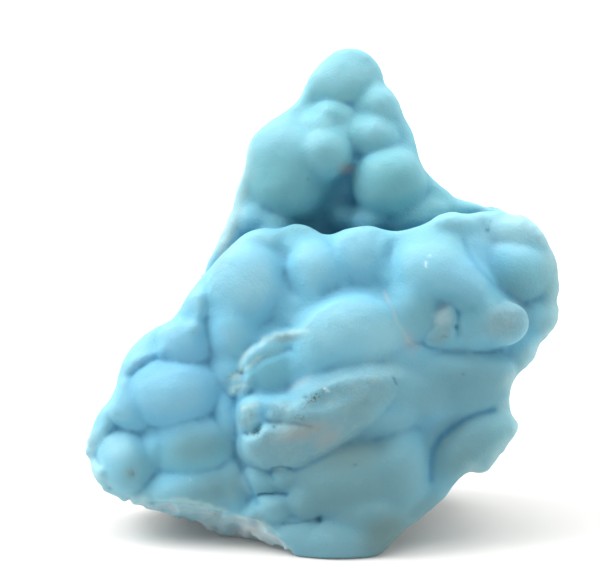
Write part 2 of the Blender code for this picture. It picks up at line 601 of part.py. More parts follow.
def floor_cutter():
    """A slab under the foot, which cuts it flat where the specimen stands."""
    corners = np.array([(x, y, z) for x in (-0.08, 0.08) for y in (-0.08, 0.08) for z in (-0.06, 0.0)])
    faces = np.array([(0, 1, 3, 2), (4, 6, 7, 5), (0, 4, 5, 1), (2, 3, 7, 6), (0, 2, 6, 4), (1, 5, 7, 3)])
    cutter = add_object("floor_cutter", corners, faces)
    cutter.hide_render = True
    cutter.display_type = "WIRE"
    return cutter


def build():
    axes = block_axes(GRAIN)
    across, up = np.meshgrid(axes[0], axes[1], indexing="ij")
    field, _ = specimen_field(axes, face_lift(across, up))
    points, faces = surface_of(without_pinches(settled(field)), axes)
    specimen = add_object("blue_aragonite", standing(points), faces)
    thin = specimen.modifiers.new("thin", "DECIMATE")
    thin.ratio = min(1.0, TRIANGLES / (2.0 * len(faces)))
    cut = specimen.modifiers.new("foot", "BOOLEAN")
    cut.operation = "DIFFERENCE"
    cut.solver = "EXACT"
    cut.object = floor_cutter()
    return specimen


for old in list(bpy.data.objects):
    bpy.data.objects.remove(old)
build()
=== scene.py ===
"""Blue aragonite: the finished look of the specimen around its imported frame.

The specimen is shaped on its face, which leans back: across runs to the right, up runs along
the face, and out runs towards the viewer. Sizes on the face are in millimetres.
"""

import math

import bmesh
import bpy
import numpy as np
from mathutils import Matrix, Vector


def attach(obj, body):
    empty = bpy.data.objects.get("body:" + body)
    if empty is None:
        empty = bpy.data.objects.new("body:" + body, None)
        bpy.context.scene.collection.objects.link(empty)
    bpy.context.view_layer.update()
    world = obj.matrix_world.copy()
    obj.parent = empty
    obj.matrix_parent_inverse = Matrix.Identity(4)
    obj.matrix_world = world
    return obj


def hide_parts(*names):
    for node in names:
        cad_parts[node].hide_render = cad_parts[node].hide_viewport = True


bl_info = {
    "name": "Blue Aragonite Specimen",
    "version": (1, 0, 0),
    "blender": (4, 5, 0),
    "location": "View3D > Sidebar > Aragonite",
    "description": "A botryoidal blue aragonite specimen on a pale studio floor",
    "category": "Add Mesh",
}

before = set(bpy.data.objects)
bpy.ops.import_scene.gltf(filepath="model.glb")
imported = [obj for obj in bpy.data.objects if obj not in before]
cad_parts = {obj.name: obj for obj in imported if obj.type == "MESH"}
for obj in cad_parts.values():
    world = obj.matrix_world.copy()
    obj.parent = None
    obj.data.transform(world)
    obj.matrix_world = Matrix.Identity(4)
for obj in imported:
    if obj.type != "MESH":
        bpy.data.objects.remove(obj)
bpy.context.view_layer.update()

NODE = "blue_aragonite"
MM = 0.001

FACE_LEAN = math.radians(14.0)
# Where the middle of the standing specimen is, which is put at the origin.
CENTRE_ACROSS = 0.89
CENTRE_DEPTH = 27.67
# Places on the face are given as they look from this far in front of its middle, so what lies
# deeper is spread outwards to match.
VIEW_DISTANCE = 800.0
VIEW_ACROSS = -4.0
VIEW_UP = 52.5

# The block of space that the specimen is shaped in.
ACROSS_RANGE = (-51.0, 51.0)
UP_RANGE = (-8.0, 107.0)
OUT_RANGE = (-50.0, 13.0)

# Outline of the lower mass on the face, clockwise from its top left corner (across, up).
LOWER_OUTLINE = (
    (-22.4, 57.0), (-19.4, 60.4), (-17.2, 62.4), (-14.6, 64.4), (-11.6, 65.4), (-8.4, 65.0), (-5.6, 66.4),
    (-2.4, 66.0), (0.2, 64.2), (2.2, 63.8), (5.0, 65.0), (10.0, 66.0), (13.0, 65.0), (16.0, 64.6),
    (20.8, 65.8), (23.6, 67.8), (26.4, 68.6), (29.0, 68.0), (34.4, 68.8), (38.4, 68.6), (41.8, 67.4),
    (44.4, 65.0),
    (46.2, 62.4), (47.6, 59.6), (48.2, 56.6), (48.2, 51.6), (47.8, 47.8), (46.8, 45.2), (44.2, 41.4),
    (41.6, 38.6), (39.4, 36.4), (38.0, 33.4), (37.4, 31.0), (38.6, 28.4), (39.4, 26.2), (39.0, 24.2),
    (37.2, 21.4), (35.4, 19.0), (33.4, 17.2), (31.2, 16.6), (29.6, 17.0), (27.0, 14.6), (25.6, 12.4),
    (22.8, 10.2), (20.6, 8.4), (19.4, 7.2), (16.6, 5.4), (14.2, 3.2), (12.0, 0.8), (9.4, -1.4), (4.0, -2.4),
    (-3.8, -2.4), (-5.8, 0.4), (-6.4, 2.0), (-8.4, 2.8), (-13.2, 3.0), (-17.4, 3.2), (-20.6, 4.4),
    (-23.2, 6.0), (-26.0, 7.2), (-30.2, 8.0), (-32.2, 9.4), (-37.0, 10.2), (-40.8, 10.8), (-43.0, 12.6),
    (-43.8, 14.6), (-45.2, 16.6), (-46.6, 19.4), (-46.8, 22.4), (-45.6, 26.4), (-44.0, 29.0), (-41.6, 31.4),
    (-40.6, 34.0), (-39.8, 37.8), (-38.4, 40.8), (-36.4, 43.0), (-33.6, 45.2), (-30.4, 46.4), (-28.2, 48.6),
    (-26.6, 51.8), (-24.8, 54.2),
)
# Where the side walls begin, how they draw in and sag behind it, and how soon they turn rough.
LOWER_EDGE_OUT = -9.0
LOWER_TAPER = 0.22
LOWER_SAG = 0.20
LOWER_ROUGHENS = 14.0
LOWER_SIDES = (LOWER_OUTLINE, LOWER_EDGE_OUT, LOWER_TAPER, LOWER_SAG, LOWER_ROUGHENS)

# Outline of the pinnacle, the same way round. It carries on down behind the lower mass.
PINNACLE_OUTLINE = (
    (-23.0, 57.6), (-21.4, 60.2), (-19.8, 63.6), (-18.6, 66.4), (-17.4, 69.0), (-17.0, 72.0), (-15.8, 75.0),
    (-14.8, 77.6), (-14.6, 80.4), (-13.6, 83.2), (-11.8, 85.2), (-9.2, 86.9), (-6.6, 88.6), (-4.6, 90.6),
    (-3.2, 93.0), (-2.0, 95.4), (-0.4, 97.8), (1.8, 100.0), (5.0, 101.4), (8.6, 100.8), (11.0, 99.0),
    (12.3, 96.6), (12.5, 94.0), (14.4, 92.4), (16.0, 90.0), (16.7, 87.4), (18.3, 85.0), (19.1, 82.0),
    (19.6, 79.0), (21.0, 76.4), (23.0, 74.6), (24.8, 72.9), (26.6, 71.4), (29.4, 70.5), (33.6, 69.2),
    (38.4, 67.4), (41.0, 60.0), (36.0, 46.0), (0.0, 34.0), (-24.0, 46.0),
)
PINNACLE_EDGE_OUT = -23.0
PINNACLE_TAPER = 0.16
PINNACLE_SAG = 0.0
PINNACLE_ROUGHENS = 10.0
PINNACLE_SIDES = (PINNACLE_OUTLINE, PINNACLE_EDGE_OUT, PINNACLE_TAPER, PINNACLE_SAG, PINNACLE_ROUGHENS)
# The hollow behind the two big balls of the pinnacle: places on its floor (across, up, out, size).
RECESS_FLOOR = (
    (5.0, 78.0, -15.5, 3.0),
    (4.6, 72.6, -19.5, 6.0),
    (4.6, 66.0, -20.5, 6.0),
    (0.0, 68.0, -18.0, 4.0),
    (12.0, 66.0, -17.0, 5.0),
    (-14.0, 63.0, -14.0, 4.0),
)

# The broken back, as flat facets: a point on each (across, up, out) and how fast it comes
# forward to the left and upwards.
BACK_FACETS = (
    (0.0, 25.0, -44.0, 0.05, 0.04),
    (-6.0, 70.0, -43.0, -0.06, 0.16),
    (-33.0, 28.0, -35.0, 0.75, 0.02),
    (31.0, 30.0, -38.0, -0.55, -0.05),
    (34.0, 58.0, -35.0, -0.60, 0.25),
    (-14.0, 62.0, -38.0, 0.45, 0.20),
    (8.0, 92.0, -36.0, -0.10, 0.42),
)

# Every lobe: across, up, out of its crown, half width, half height, depth and roll in degrees.
# The spread of a group says how far its lobes run on under their neighbours.
PINNACLE_LOBES = (
    (5.0, 94.6, -13.0, 6.6, 6.0, 9.0, 0),
    (-0.2, 93.6, -15.5, 3.4, 4.6, 7.0, 28),
    (-4.2, 89.2, -15.6, 3.6, 3.2, 6.0, 40),
    (-1.0, 85.4, -11.4, 3.4, 3.0, 5.0, 0),
    (3.6, 84.8, -12.0, 2.8, 3.8, 5.0, 0),
    (0.2, 80.6, -6.9, 4.6, 4.8, 7.5, 0),
    (-4.6, 80.4, -8.4, 4.6, 5.2, 9.0, 0),
    (11.4, 89.6, -13.0, 4.8, 4.4, 7.5, 0),
    (10.8, 83.4, -11.4, 5.0, 5.2, 8.5, 0),
    (-7.6, 80.2, -8.2, 6.4, 6.6, 10.5, 10),
    (-6.6, 74.8, -7.6, 6.6, 7.0, 11.0, 0),
    (16.0, 85.4, -16.0, 3.0, 5.4, 8.0, 14),
    (17.4, 80.2, -15.0, 2.9, 3.8, 6.0, 10),
    (14.2, 74.6, -6.5, 6.1, 5.8, 8.0, 0),
    (22.6, 71.8, -13.5, 4.8, 3.8, 7.0, 40),
    (19.6, 67.4, -9.5, 6.6, 3.6, 7.0, 15),
    (29.0, 69.0, -13.0, 6.6, 2.6, 6.0, 18),
    (4.8, 67.6, -15.0, 2.7, 2.5, 4.5, 0),
    (10.4, 66.6, -10.5, 4.2, 3.0, 6.0, 0),
    (-13.4, 67.0, -10.0, 3.4, 3.0, 6.0, 0),
    (-9.4, 65.6, -9.5, 3.2, 2.6, 5.0, 0),
    (-15.2, 71.4, -13.5, 2.3, 4.8, 6.0, -12),
    (-16.8, 65.6, -12.0, 2.6, 4.8, 6.0, -22),
    (-19.2, 60.6, -11.0, 2.8, 5.0, 6.0, -28),
)
KNOB_LOBES = (
    (11.8, 90.4, -12.4, 4.6, 4.0, 7.0, 0),
    (10.4, 84.2, -10.2, 4.4, 4.2, 7.0, 0),
    (2.2, 88.2, -11.8, 3.4, 2.6, 4.5, 0),
    (-0.4, 85.6, -10.4, 3.6, 2.8, 5.0, 0),
)
LEDGE_LOBES = (
    (-12.8, 62.2, -3.8, 4.6, 2.6, 5.0, 10),
    (-4.0, 64.0, -7.5, 5.0, 2.2, 5.0, 0),
    (-4.6, 60.8, -4.0, 3.6, 2.6, 5.0, 0),
    (-15.0, 52.8, 1.5, 6.0, 7.2, 9.0, -10),
    (-16.8, 45.4, 1.1, 4.5, 6.0, 8.5, -10),
    (-7.8, 51.0, -1.6, 3.4, 3.6, 4.5, 0),
    (-0.8, 56.2, 0.8, 4.3, 4.9, 7.0, 10),
    (8.0, 58.8, -0.2, 5.0, 5.8, 8.0, 5),
    (13.6, 61.4, -3.2, 2.6, 3.4, 5.0, 0),
    (-5.8, 47.6, -1.0, 3.6, 3.2, 4.0, 0),
)
CENTRE_LOBES = (
    (5.0, 45.2, 3.8, 8.8, 6.0, 9.0, 6),
    (12.6, 44.8, 2.8, 6.0, 5.8, 8.0, 0),
    (1.2, 42.4, 3.4, 6.0, 5.6, 8.5, 0),
    (-1.6, 39.6, 2.9, 4.4, 5.6, 7.5, 0),
    (6.4, 40.4, 2.6, 7.4, 4.0, 7.0, 0),
    (-9.2, 37.8, 1.5, 6.4, 6.4, 6.0, 0),
    (-18.0, 36.6, -1.0, 2.8, 3.0, 4.0, 0),
)
BULGE_LOBES = (
    (22.2, 61.4, -0.2, 4.2, 3.0, 6.0, 10),
    (22.8, 56.8, 4.8, 6.6, 5.9, 10.0, -8),
    (30.2, 51.6, 3.8, 6.6, 4.0, 8.5, -48),
    (27.0, 54.8, 4.7, 6.4, 4.4, 9.0, -30),
    (29.0, 46.6, 3.6, 8.8, 5.4, 9.0, 4),
    (19.2, 50.2, 3.2, 4.6, 6.4, 8.0, -10),
)
SHOULDER_LOBES = (
    (25.6, 66.4, -1.0, 4.2, 2.0, 5.0, 0),
    (38.2, 64.2, -4.4, 7.2, 4.0, 8.0, -8),
    (38.6, 56.8, -1.8, 6.2, 5.0, 8.0, -10),
    (45.2, 51.8, -6.4, 2.7, 6.6, 6.5, 0),
    (43.0, 47.0, -4.4, 3.8, 3.8, 6.5, 0),
    (40.0, 42.0, -4.2, 4.6, 3.2, 6.5, 45),
)
CHIP_LOBES = (
    (36.6, 46.2, 1.8, 5.4, 4.4, 2.4, 10),
)
RIGHT_FLANK_LOBES = (
    (29.0, 33.6, 0.8, 8.2, 6.0, 8.0, 0),
    (21.6, 33.2, 2.0, 5.4, 6.0, 7.0, 0),
    (26.6, 37.2, 1.6, 8.0, 3.0, 5.0, 0),
    (35.4, 33.4, -3.4, 3.2, 4.6, 6.0, 0),
    (17.4, 38.6, 1.6, 4.8, 2.6, 4.5, 18),
    (30.6, 22.4, 0.3, 8.0, 3.9, 7.0, 37),
    (24.8, 14.6, -2.4, 5.8, 3.4, 7.0, 50),
    (37.0, 26.0, -3.4, 2.4, 3.2, 5.0, 0),
)
FOOT_LOBES = (
    (5.6, 14.4, 5.0, 11.2, 7.4, 9.0, 0),
    (9.4, 8.2, 4.7, 6.6, 4.0, 8.0, 0),
    (4.6, 3.0, 4.2, 10.6, 5.0, 9.0, 4),
    (15.4, 16.4, 3.9, 4.8, 7.4, 8.0, -4),
    (-8.8, 9.4, 2.8, 3.5, 2.5, 5.0, 0),
    (-11.4, 14.8, 1.8, 3.3, 2.6, 4.5, 0),
    (-7.0, 15.4, 3.2, 2.1, 1.8, 3.5, 0),
    (-2.8, 10.6, 4.0, 2.9, 2.6, 4.5, 0),
    (-13.0, 7.6, 0.2, 1.6, 1.4, 3.0, 0),
    (-4.2, 4.2, 2.6, 4.2, 3.4, 6.0, 0),
)
TONGUE_LOBES = (
    (-7.0, 23.2, 3.4, 7.6, 4.6, 5.5, 6),
    (1.6, 27.4, 4.0, 7.2, 4.8, 5.5, 25),
    (9.0, 31.4, 3.8, 7.4, 4.8, 5.5, 20),
    (15.6, 33.0, 3.2, 5.0, 4.4, 5.0, 20),
    (13.4, 27.4, 3.2, 5.4, 2.8, 5.0, 10),
    (-12.4, 21.4, 3.0, 3.2, 2.8, 5.0, 0),
    (-6.6, 29.2, 3.9, 2.8, 2.1, 3.8, 0),
    (-13.4, 27.4, 3.3, 2.7, 3.4, 4.5, 0),
    (-10.4, 26.4, 3.0, 2.4, 3.0, 4.0, 0),
    (-3.6, 27.6, 4.1, 3.2, 2.6, 4.0, 20),
    (-11.4, 29.8, 2.4, 3.0, 1.4, 3.5, 0),
    (-1.6, 32.4, 3.7, 3.6, 2.6, 4.0, 30),
    (5.0, 34.4, 3.6, 6.0, 2.8, 4.5, 12),
    (11.0, 35.0, 3.0, 4.5, 2.6, 4.0, 0),
)
LEFT_FLANK_LOBES = (
    (-24.4, 49.4, -3.2, 2.8, 5.4, 7.0, -22),
    (-22.8, 54.8, -5.6, 2.6, 4.0, 6.0, -35),
    (-26.8, 42.0, -0.8, 4.5, 4.3, 7.0, -8),
    (-35.0, 39.4, -5.2, 4.4, 6.6, 8.5, -30),
    (-28.6, 32.2, 1.4, 7.2, 5.3, 9.0, 6),
    (-37.4, 29.8, -2.2, 3.6, 4.4, 7.0, 20),
    (-43.0, 27.4, -7.0, 2.8, 4.8, 6.5, -15),
    (-44.8, 21.2, -8.5, 2.2, 4.6, 5.5, 0),
    (-38.2, 18.4, -2.0, 4.8, 5.2, 8.0, 0),
    (-32.6, 21.6, -2.6, 2.8, 3.4, 5.5, 0),
    (-24.4, 21.8, 0.3, 7.0, 5.4, 8.0, 6),
    (-23.6, 13.4, -0.6, 8.8, 4.4, 7.0, 12),
    (-17.2, 14.4, -0.6, 3.8, 4.8, 7.0, 10),
    (-18.6, 27.4, -0.6, 2.1, 4.6, 5.0, 10),
)
# Each group: its lobes, their spread, and how softly they run into one another.
LOWER_GROUPS = (
    (LEDGE_LOBES, 1.50, 1.2),
    (CENTRE_LOBES, 1.40, 1.7),
    (BULGE_LOBES, 1.33, 2.2),
    (SHOULDER_LOBES, 1.46, 1.2),
    (RIGHT_FLANK_LOBES, 1.46, 1.5),
    (FOOT_LOBES, 1.42, 1.3),
    (LEFT_FLANK_LOBES, 1.51, 1.0),
    (TONGUE_LOBES, 1.20, 2.0),
    (CHIP_LOBES, 1.00, 1.0),
)
LEVEL_GROUPS = 7
PINNACLE_GROUPS = (
    (PINNACLE_LOBES, 1.28, 2.0),
    (KNOB_LOBES, 1.15, 1.3),
)

# Plates with a broken edge that stand proud of the face, or lie sunk in it where their height is
# negative.
LOWER_LAYER = (
    (-15.6, 22.6), (-15.0, 19.4), (-12.4, 17.8), (-8.8, 17.2), (-3.2, 18.6), (2.4, 21.4), (6.6, 24.2),
    (10.8, 27.4), (13.2, 29.8), (15.0, 32.4), (15.6, 36.0), (10.0, 36.6), (4.0, 35.4), (-1.0, 33.6),
    (-5.0, 30.4), (-9.0, 26.0), (-11.8, 25.4), (-14.0, 24.4),
)
UPPER_LAYER = (
    (-9.8, 27.4), (-8.6, 31.2), (-5.4, 31.6), (-4.0, 34.0), (0.0, 35.8), (5.0, 37.2), (11.0, 37.6),
    (16.6, 36.8), (15.0, 34.6), (11.0, 32.4), (6.0, 29.6), (1.0, 27.2), (-4.0, 26.2),
)
TONGUE_RIM = (
    (2.0, 21.8), (6.8, 24.6), (10.8, 27.6), (13.2, 30.0), (15.0, 32.4), (13.8, 32.8), (11.4, 30.8),
    (8.4, 28.6), (4.8, 26.2), (1.4, 23.8),
)
OUTER_SCALE = (
    (-16.0, 37.2), (-15.4, 39.6), (-14.0, 41.2), (-11.6, 42.2), (-10.6, 43.8), (-7.0, 44.8), (-3.6, 45.8),
    (-2.0, 48.0), (0.2, 49.8), (3.2, 51.3), (6.4, 52.0), (9.6, 51.8), (12.2, 50.6), (14.6, 48.4),
    (17.0, 45.0), (19.6, 41.6),
    (17.6, 38.0), (15.8, 35.6), (15.0, 32.4), (13.2, 29.8), (10.8, 27.4), (6.6, 24.2), (2.4, 21.4),
    (-3.2, 18.6), (-8.8, 17.2), (-12.4, 17.8), (-15.0, 19.4), (-15.8, 22.6), (-16.4, 26.0), (-16.4, 30.0),
    (-15.6, 33.6), (-14.8, 36.2),
)
INNER_SCALE = (
    (-13.8, 36.0), (-13.0, 38.6), (-11.4, 40.2), (-9.6, 41.4), (-6.6, 42.6), (-4.4, 42.4), (-5.4, 39.4),
    (-5.8, 36.0), (-6.0, 33.0), (-9.0, 31.8), (-12.4, 33.0),
)
CRUST_SCALE = (
    (-18.0, 33.0), (-17.8, 35.0), (-16.0, 36.0), (-14.6, 37.4), (-13.4, 37.0), (-13.6, 34.4), (-14.8, 32.4),
    (-16.8, 32.0),
)
SHARD_SCALE = (
    (-18.0, 32.4), (-17.4, 34.6), (-15.4, 35.8), (-13.8, 35.2), (-14.2, 33.0), (-16.0, 31.4),
)
UNDER_PLATE = (
    (4.6, 23.2), (8.0, 23.6), (16.0, 24.6), (19.4, 26.0), (19.6, 30.0), (17.0, 32.0), (13.0, 30.0),
    (9.0, 26.6),
)
LEFT_CHIP = (
    (26.4, 49.8), (27.2, 47.0), (26.4, 43.6), (24.2, 42.4), (21.6, 42.0), (21.2, 43.6), (23.2, 45.0),
    (22.8, 47.4), (24.8, 49.2),
)
RIGHT_CHIP = (
    (33.2, 47.4), (34.4, 49.0), (37.6, 50.2), (40.4, 49.8), (41.4, 48.2), (41.4, 45.0), (39.8, 42.6),
    (37.0, 42.0), (34.2, 43.4), (33.2, 45.4),
)
# Each plate: its outline, its height and how softly its edge falls.
PLATES = (
    (LOWER_LAYER, 0.7, 1.6),
    (UPPER_LAYER, 0.35, 2.6),
    (TONGUE_RIM, 0.3, 1.4),
    (OUTER_SCALE, 1.1, 0.8),
    (INNER_SCALE, -0.4, 1.6),
    (CRUST_SCALE, 0.6, 1.2),
    (SHARD_SCALE, 0.5, 1.0),
    (UNDER_PLATE, 0.6, 1.6),
)
CHIPS = (
    (LEFT_CHIP, 0.7, 0.8),
    (RIGHT_CHIP, 0.5, 1.4),
)
# The plates thin out to nothing between these two places across the face.
PLATES_FADE = (10.0, 18.0)
# Sunken places: across, up, half width, half height, depth.
HOLLOWS = (
    (-7.4, 34.0, 2.6, 2.2, 0.2),
    (27.4, 49.8, 4.6, 2.4, 0.5),
    (30.0, 47.0, 2.8, 3.0, 0.7),
)
# The skin of lobes ends along this line at the lower left; below it the broken crust falls back.
SKIN_EDGE = (
    (-46.0, 12.0), (-41.0, 10.8), (-32.0, 10.4), (-24.2, 10.0), (-19.0, 8.4), (-15.6, 7.8), (-12.4, 7.0),
    (-9.0, 4.0), (-6.0, 1.8), (-5.0, 0.0),
)
CRUST_SLOPE = 1.6
CRUST_FALL = 12.0
CRUST_LEFT_OF = -3.0
CRUST_SETS_IN = 4.0

# How far around a place the level of its creases is judged, and how deep in the lobes it lies.
LEVEL_REACH = 5.5
LOWER_CREASES = 0.38
PINNACLE_CREASES = 0.34
PINNACLE_JOIN = 1.0
EDGE_ROUNDING = 1.8
BACK_ROUNDING = 1.5
# How far around a lobe it is grown into the field.
LOBE_MARGIN = 3.0
# The walls stay smooth this far behind the outline. The break lies this much inside its facets.
SMOOTH_EDGE = 3.0
BREAK_FILL = 0.8
# What is put into a grid corner where the skin would meet itself.
PINCH_FILL = 0.04

# Fine steps between the worn plates: the gap under the nodule, the band below the rim of the scales,
# the pocket at the tip of the tongue, the edge of its lower plate and the gap beside the left chip.
NODULE_GAP = (
    (-15.6, 24.0), (-13.2, 24.3), (-12.2, 25.2), (-11.0, 26.0), (-9.4, 26.1), (-8.6, 25.7), (-5.2, 26.3),
    (-1.6, 25.8), (-2.0, 26.4), (-5.4, 27.2), (-8.0, 26.9), (-10.2, 27.1), (-12.2, 26.6), (-13.6, 25.5),
    (-15.4, 25.0),
)
NODULE_SIDE = ((-12.9, 30.0), (-11.4, 30.6), (-10.2, 29.2), (-10.4, 27.2), (-12.0, 26.0), (-12.9, 27.6))
SCALE_BAND = (
    (-15.4, 36.4), (-14.4, 38.2), (-12.4, 39.7), (-10.2, 40.4), (-8.0, 41.1), (-5.4, 41.8), (-5.0, 40.6),
    (-8.0, 39.9), (-11.6, 38.4), (-13.2, 36.6), (-13.8, 35.0),
)
POCKET = (
    (-14.8, 29.4), (-13.2, 29.2), (-12.6, 27.4), (-13.2, 25.8), (-14.6, 25.4), (-15.8, 26.4), (-15.8, 28.2),
)
LOWER_STEP = (
    (-16.2, 24.0), (-14.6, 23.6), (-12.6, 24.2), (-11.4, 25.4), (-9.6, 25.6), (-8.8, 25.0), (-5.0, 25.8),
    (-1.8, 25.2), (-3.0, 23.4), (-7.0, 22.8), (-11.0, 22.4), (-14.6, 21.8), (-16.4, 22.2),
)
CHIP_GAP = (
    (27.0, 49.4), (27.9, 48.6), (27.7, 46.2), (28.1, 44.4), (27.2, 43.4), (26.6, 44.8), (27.0, 46.6),
)
# Each step: its outline, its height and how softly its edge falls.
FOLDS = (
    (NODULE_GAP, -0.9, 0.8),
    (NODULE_SIDE, -0.8, 2.0),
    (SCALE_BAND, -0.45, 0.8),
    (POCKET, -0.5, 1.2),
    (LOWER_STEP, 0.45, 1.0),
    (CHIP_GAP, -0.7, 0.8),
)

# Cracks across the skin, with painted shade inside them: the line of each, its half width and its depth.
CRACKS = (
    (((-12.4, 12.1), (-11.0, 12.3), (-9.4, 12.2)), 0.26, 0.9),
    (((-9.4, 12.2), (-8.0, 12.3), (-6.4, 12.1)), 0.22, 0.6),
    (((-9.6, 17.4), (-7.8, 17.7), (-5.8, 17.4)), 0.24, 0.6),
    (((-9.6, 17.4), (-9.9, 16.2), (-9.2, 15.0)), 0.24, 0.3),
    (((31.0, 40.4), (33.0, 40.4), (36.4, 41.0)), 0.35, 0.20),
    (((-13.6, 24.3), (-12.4, 24.6), (-11.8, 25.3)), 0.26, 0.8),
    (((-7.8, 6.2), (-5.0, 6.3), (-2.0, 6.9), (-0.2, 7.3)), 0.24, 0.4),
    (((14.6, 35.6), (15.2, 34.2)), 0.28, 0.6),
)
# The healed crack beside the bulge.
SEAM = (
    (12.8, 52.8), (13.4, 51.2), (14.9, 48.6), (15.2, 47.0), (16.8, 44.4), (17.4, 42.9), (18.8, 42.0),
    (20.4, 41.4),
)
SEAM_WIDTH = 0.26
# Creases that run deeper than the lobes make them, with bluer painted shade along them: the line, half width
# and depth of each.
DEEP_CREASES = (
    (((22.2, 15.0), (22.3, 18.6), (22.6, 21.0), (24.0, 23.4), (26.4, 25.4), (29.0, 27.2), (31.4, 28.3),
      (34.6, 29.0)), 0.60, 0.55),
    (((-17.0, 22.4), (-17.0, 20.0), (-15.8, 17.6), (-14.6, 14.6), (-13.2, 11.6), (-12.6, 10.4)), 0.50, 0.45),
    (((28.6, 63.0), (29.4, 60.6), (31.4, 57.4), (34.4, 54.4), (38.0, 51.2)), 0.60, 0.35),
)
# Creases that are filled a little, where lobes run into each other: line, half width and fill.
FILLED_CREASES = (
    (((-40.0, 35.8), (-36.8, 38.8), (-33.2, 40.2)), 2.0, 2.0),
    (((-24.6, 46.4), (-23.8, 48.6), (-24.4, 51.6)), 1.9, 2.0),
    (((-42.4, 28.2), (-42.6, 26.0), (-44.2, 23.8)), 1.7, 1.7),
    (((-36.0, 25.2), (-30.0, 25.6), (-26.0, 26.2)), 1.2, 0.5),
    (((-33.6, 22.0), (-33.4, 17.4)), 1.2, 0.4),
    (((4.5, 54.8), (4.1, 58.0), (3.2, 61.6)), 1.4, 0.7),
    (((-4.6, 50.8), (-1.0, 51.8)), 1.5, 0.8),
    (((-9.6, 62.4), (-7.4, 58.0)), 1.4, 0.6),
    (((12.6, 62.4), (12.9, 56.0)), 1.4, 0.7),
)
# The crease between the knobs, which is filled a little: its line, half width, fill and depth range.
KNOB_CREASE = ((6.0, 79.6), (6.1, 83.0), (6.2, 87.0), (6.4, 88.6))
KNOB_CREASE_WIDTH = 1.7
KNOB_CREASE_FILL = 0.62
KNOB_CREASE_OUT = (-22.0, -18.0)

# Small pits, with painted shade inside them: across, up, half width and depth.
PITS = (
    (-12.5, 24.7, 0.5, 0.9),
    (-14.5, 24.1, 0.35, 0.7),
    (-0.2, 7.2, 0.6, 0.9),
    (27.2, 45.6, 0.45, 0.8),
    (33.6, 65.0, 0.35, 0.5),
    (7.0, 18.0, 0.5, 0.4),
    (28.6, 36.2, 0.4, 0.4),
    (-37.5, 16.2, 0.5, 0.3),
    (-9.2, 25.6, 0.4, 0.7),
    (-3.0, 31.6, 0.4, 0.6),
    (-2.4, 75.2, 0.35, 0.4),
    (-15.6, 36.4, 0.5, 0.8),
)

# Pale rims where the worn plates break off: chalky broken rims, with a painted highlight along their edges.
RIMS_AND_EDGE_HIGHLIGHTS = (
    ((-17.2, 35.4), (-15.8, 36.4), (-16.0, 38.2), (-14.2, 40.9), (-12.0, 41.9), (-10.9, 43.5), (-9.0, 44.3),
     (-5.4, 44.5), (-2.8, 44.8)),
    ((-14.8, 37.2), (-13.0, 39.1), (-10.3, 40.5), (-7.8, 41.0)),
    ((-17.8, 32.0), (-17.0, 33.4), (-15.8, 34.0), (-13.8, 33.6)),
    ((-16.6, 25.2), (-16.7, 27.8), (-15.0, 29.6), (-12.6, 30.0)),
    ((-11.8, 25.2), (-10.0, 26.0), (-7.2, 26.4)),
    ((-38.9, 16.5), (-38.2, 17.0), (-37.4, 16.9)),
    ((-35.6, 11.2), (-30.4, 10.9), (-25.0, 10.6), (-19.6, 8.9), (-15.6, 7.8), (-12.2, 6.8), (-8.8, 3.8)),
)
RIM_HIGHLIGHT_WIDTH = 0.5
# Painted light along the outline: the broken edge of the skin, where it thins, is painted paler all along it.
THIN_EDGE_LIGHTS = (
    ((38.0, 68.6), (43.0, 66.4), (46.2, 62.4), (48.0, 57.0), (48.2, 51.0), (47.0, 45.6), (43.6, 40.8),
     (40.0, 37.2), (38.2, 33.6)),
    ((38.2, 30.0), (39.4, 26.4), (39.0, 24.0), (37.2, 21.2), (35.2, 18.8), (33.2, 17.2), (30.6, 16.8)),
    ((-46.6, 24.0), (-46.4, 20.0), (-45.2, 16.6), (-43.6, 13.6), (-41.0, 11.0), (-36.6, 10.4)),
    ((-19.6, 63.6), (-17.4, 69.0), (-15.8, 75.0), (-14.6, 80.4)),
)
THIN_EDGE_LIGHT_WIDTH = 1.7
# Small bright glints.
GLINTS = (
    ((21.9, 59.8), (21.3, 58.9), (21.2, 57.8), (21.7, 57.0), (22.3, 56.9)),
    ((-27.9, 14.6), (-27.3, 14.1)),
    ((-26.4, 14.8), (-26.1, 15.1)),
    ((-7.6, 44.0), (-7.0, 43.7)),
    ((0.9, 33.3), (1.6, 32.8)),
    ((-17.6, 32.2), (-17.0, 32.8)),
)
GLINT_WIDTH = 0.24

# Patches of the skin that differ, seen on the face: across, up, half width, half height, roll and
# strength. The sea patches run on round the back.
SEA_PATCHES = (
    (4.0, 92.0, 17.0, 17.0, 0, 0.95),
    (-8.0, 76.0, 13.0, 14.0, 0, 0.70),
    (15.0, 75.0, 10.0, 9.0, 0, 0.75),
    (26.0, 71.0, 14.0, 5.0, 25, 0.80),
    (25.4, 61.6, 5.4, 3.2, 0, 0.75),
    (26.0, 48.0, 9.0, 4.0, 0, 0.60),
    (46.4, 53.0, 3.6, 14.0, 0, 0.40),
    (38.0, 24.0, 4.6, 5.6, 30, 0.95),
    (-17.4, 38.0, 3.6, 5.0, 0, 0.60),
    (-14.6, 28.2, 2.2, 3.4, 0, 0.80),
)
DEEP_PATCHES = (
    (-30.0, 36.0, 16.0, 12.0, 0, 0.90),
    (-14.0, 56.0, 9.0, 12.0, 0, 0.45),
    (3.0, 57.0, 9.0, 9.0, 0, 0.25),
    (-9.6, 36.0, 4.4, 4.6, 0, 0.30),
    (31.0, 58.0, 5.0, 7.0, -35, 0.60),
    (-16.6, 26.0, 2.0, 12.0, 10, 0.60),
    (24.0, 27.0, 5.0, 3.0, 40, 0.70),
    (-12.0, 67.6, 5.4, 2.8, 0, 0.85),
    (-11.8, 28.2, 1.4, 2.4, -10, 0.80),
)
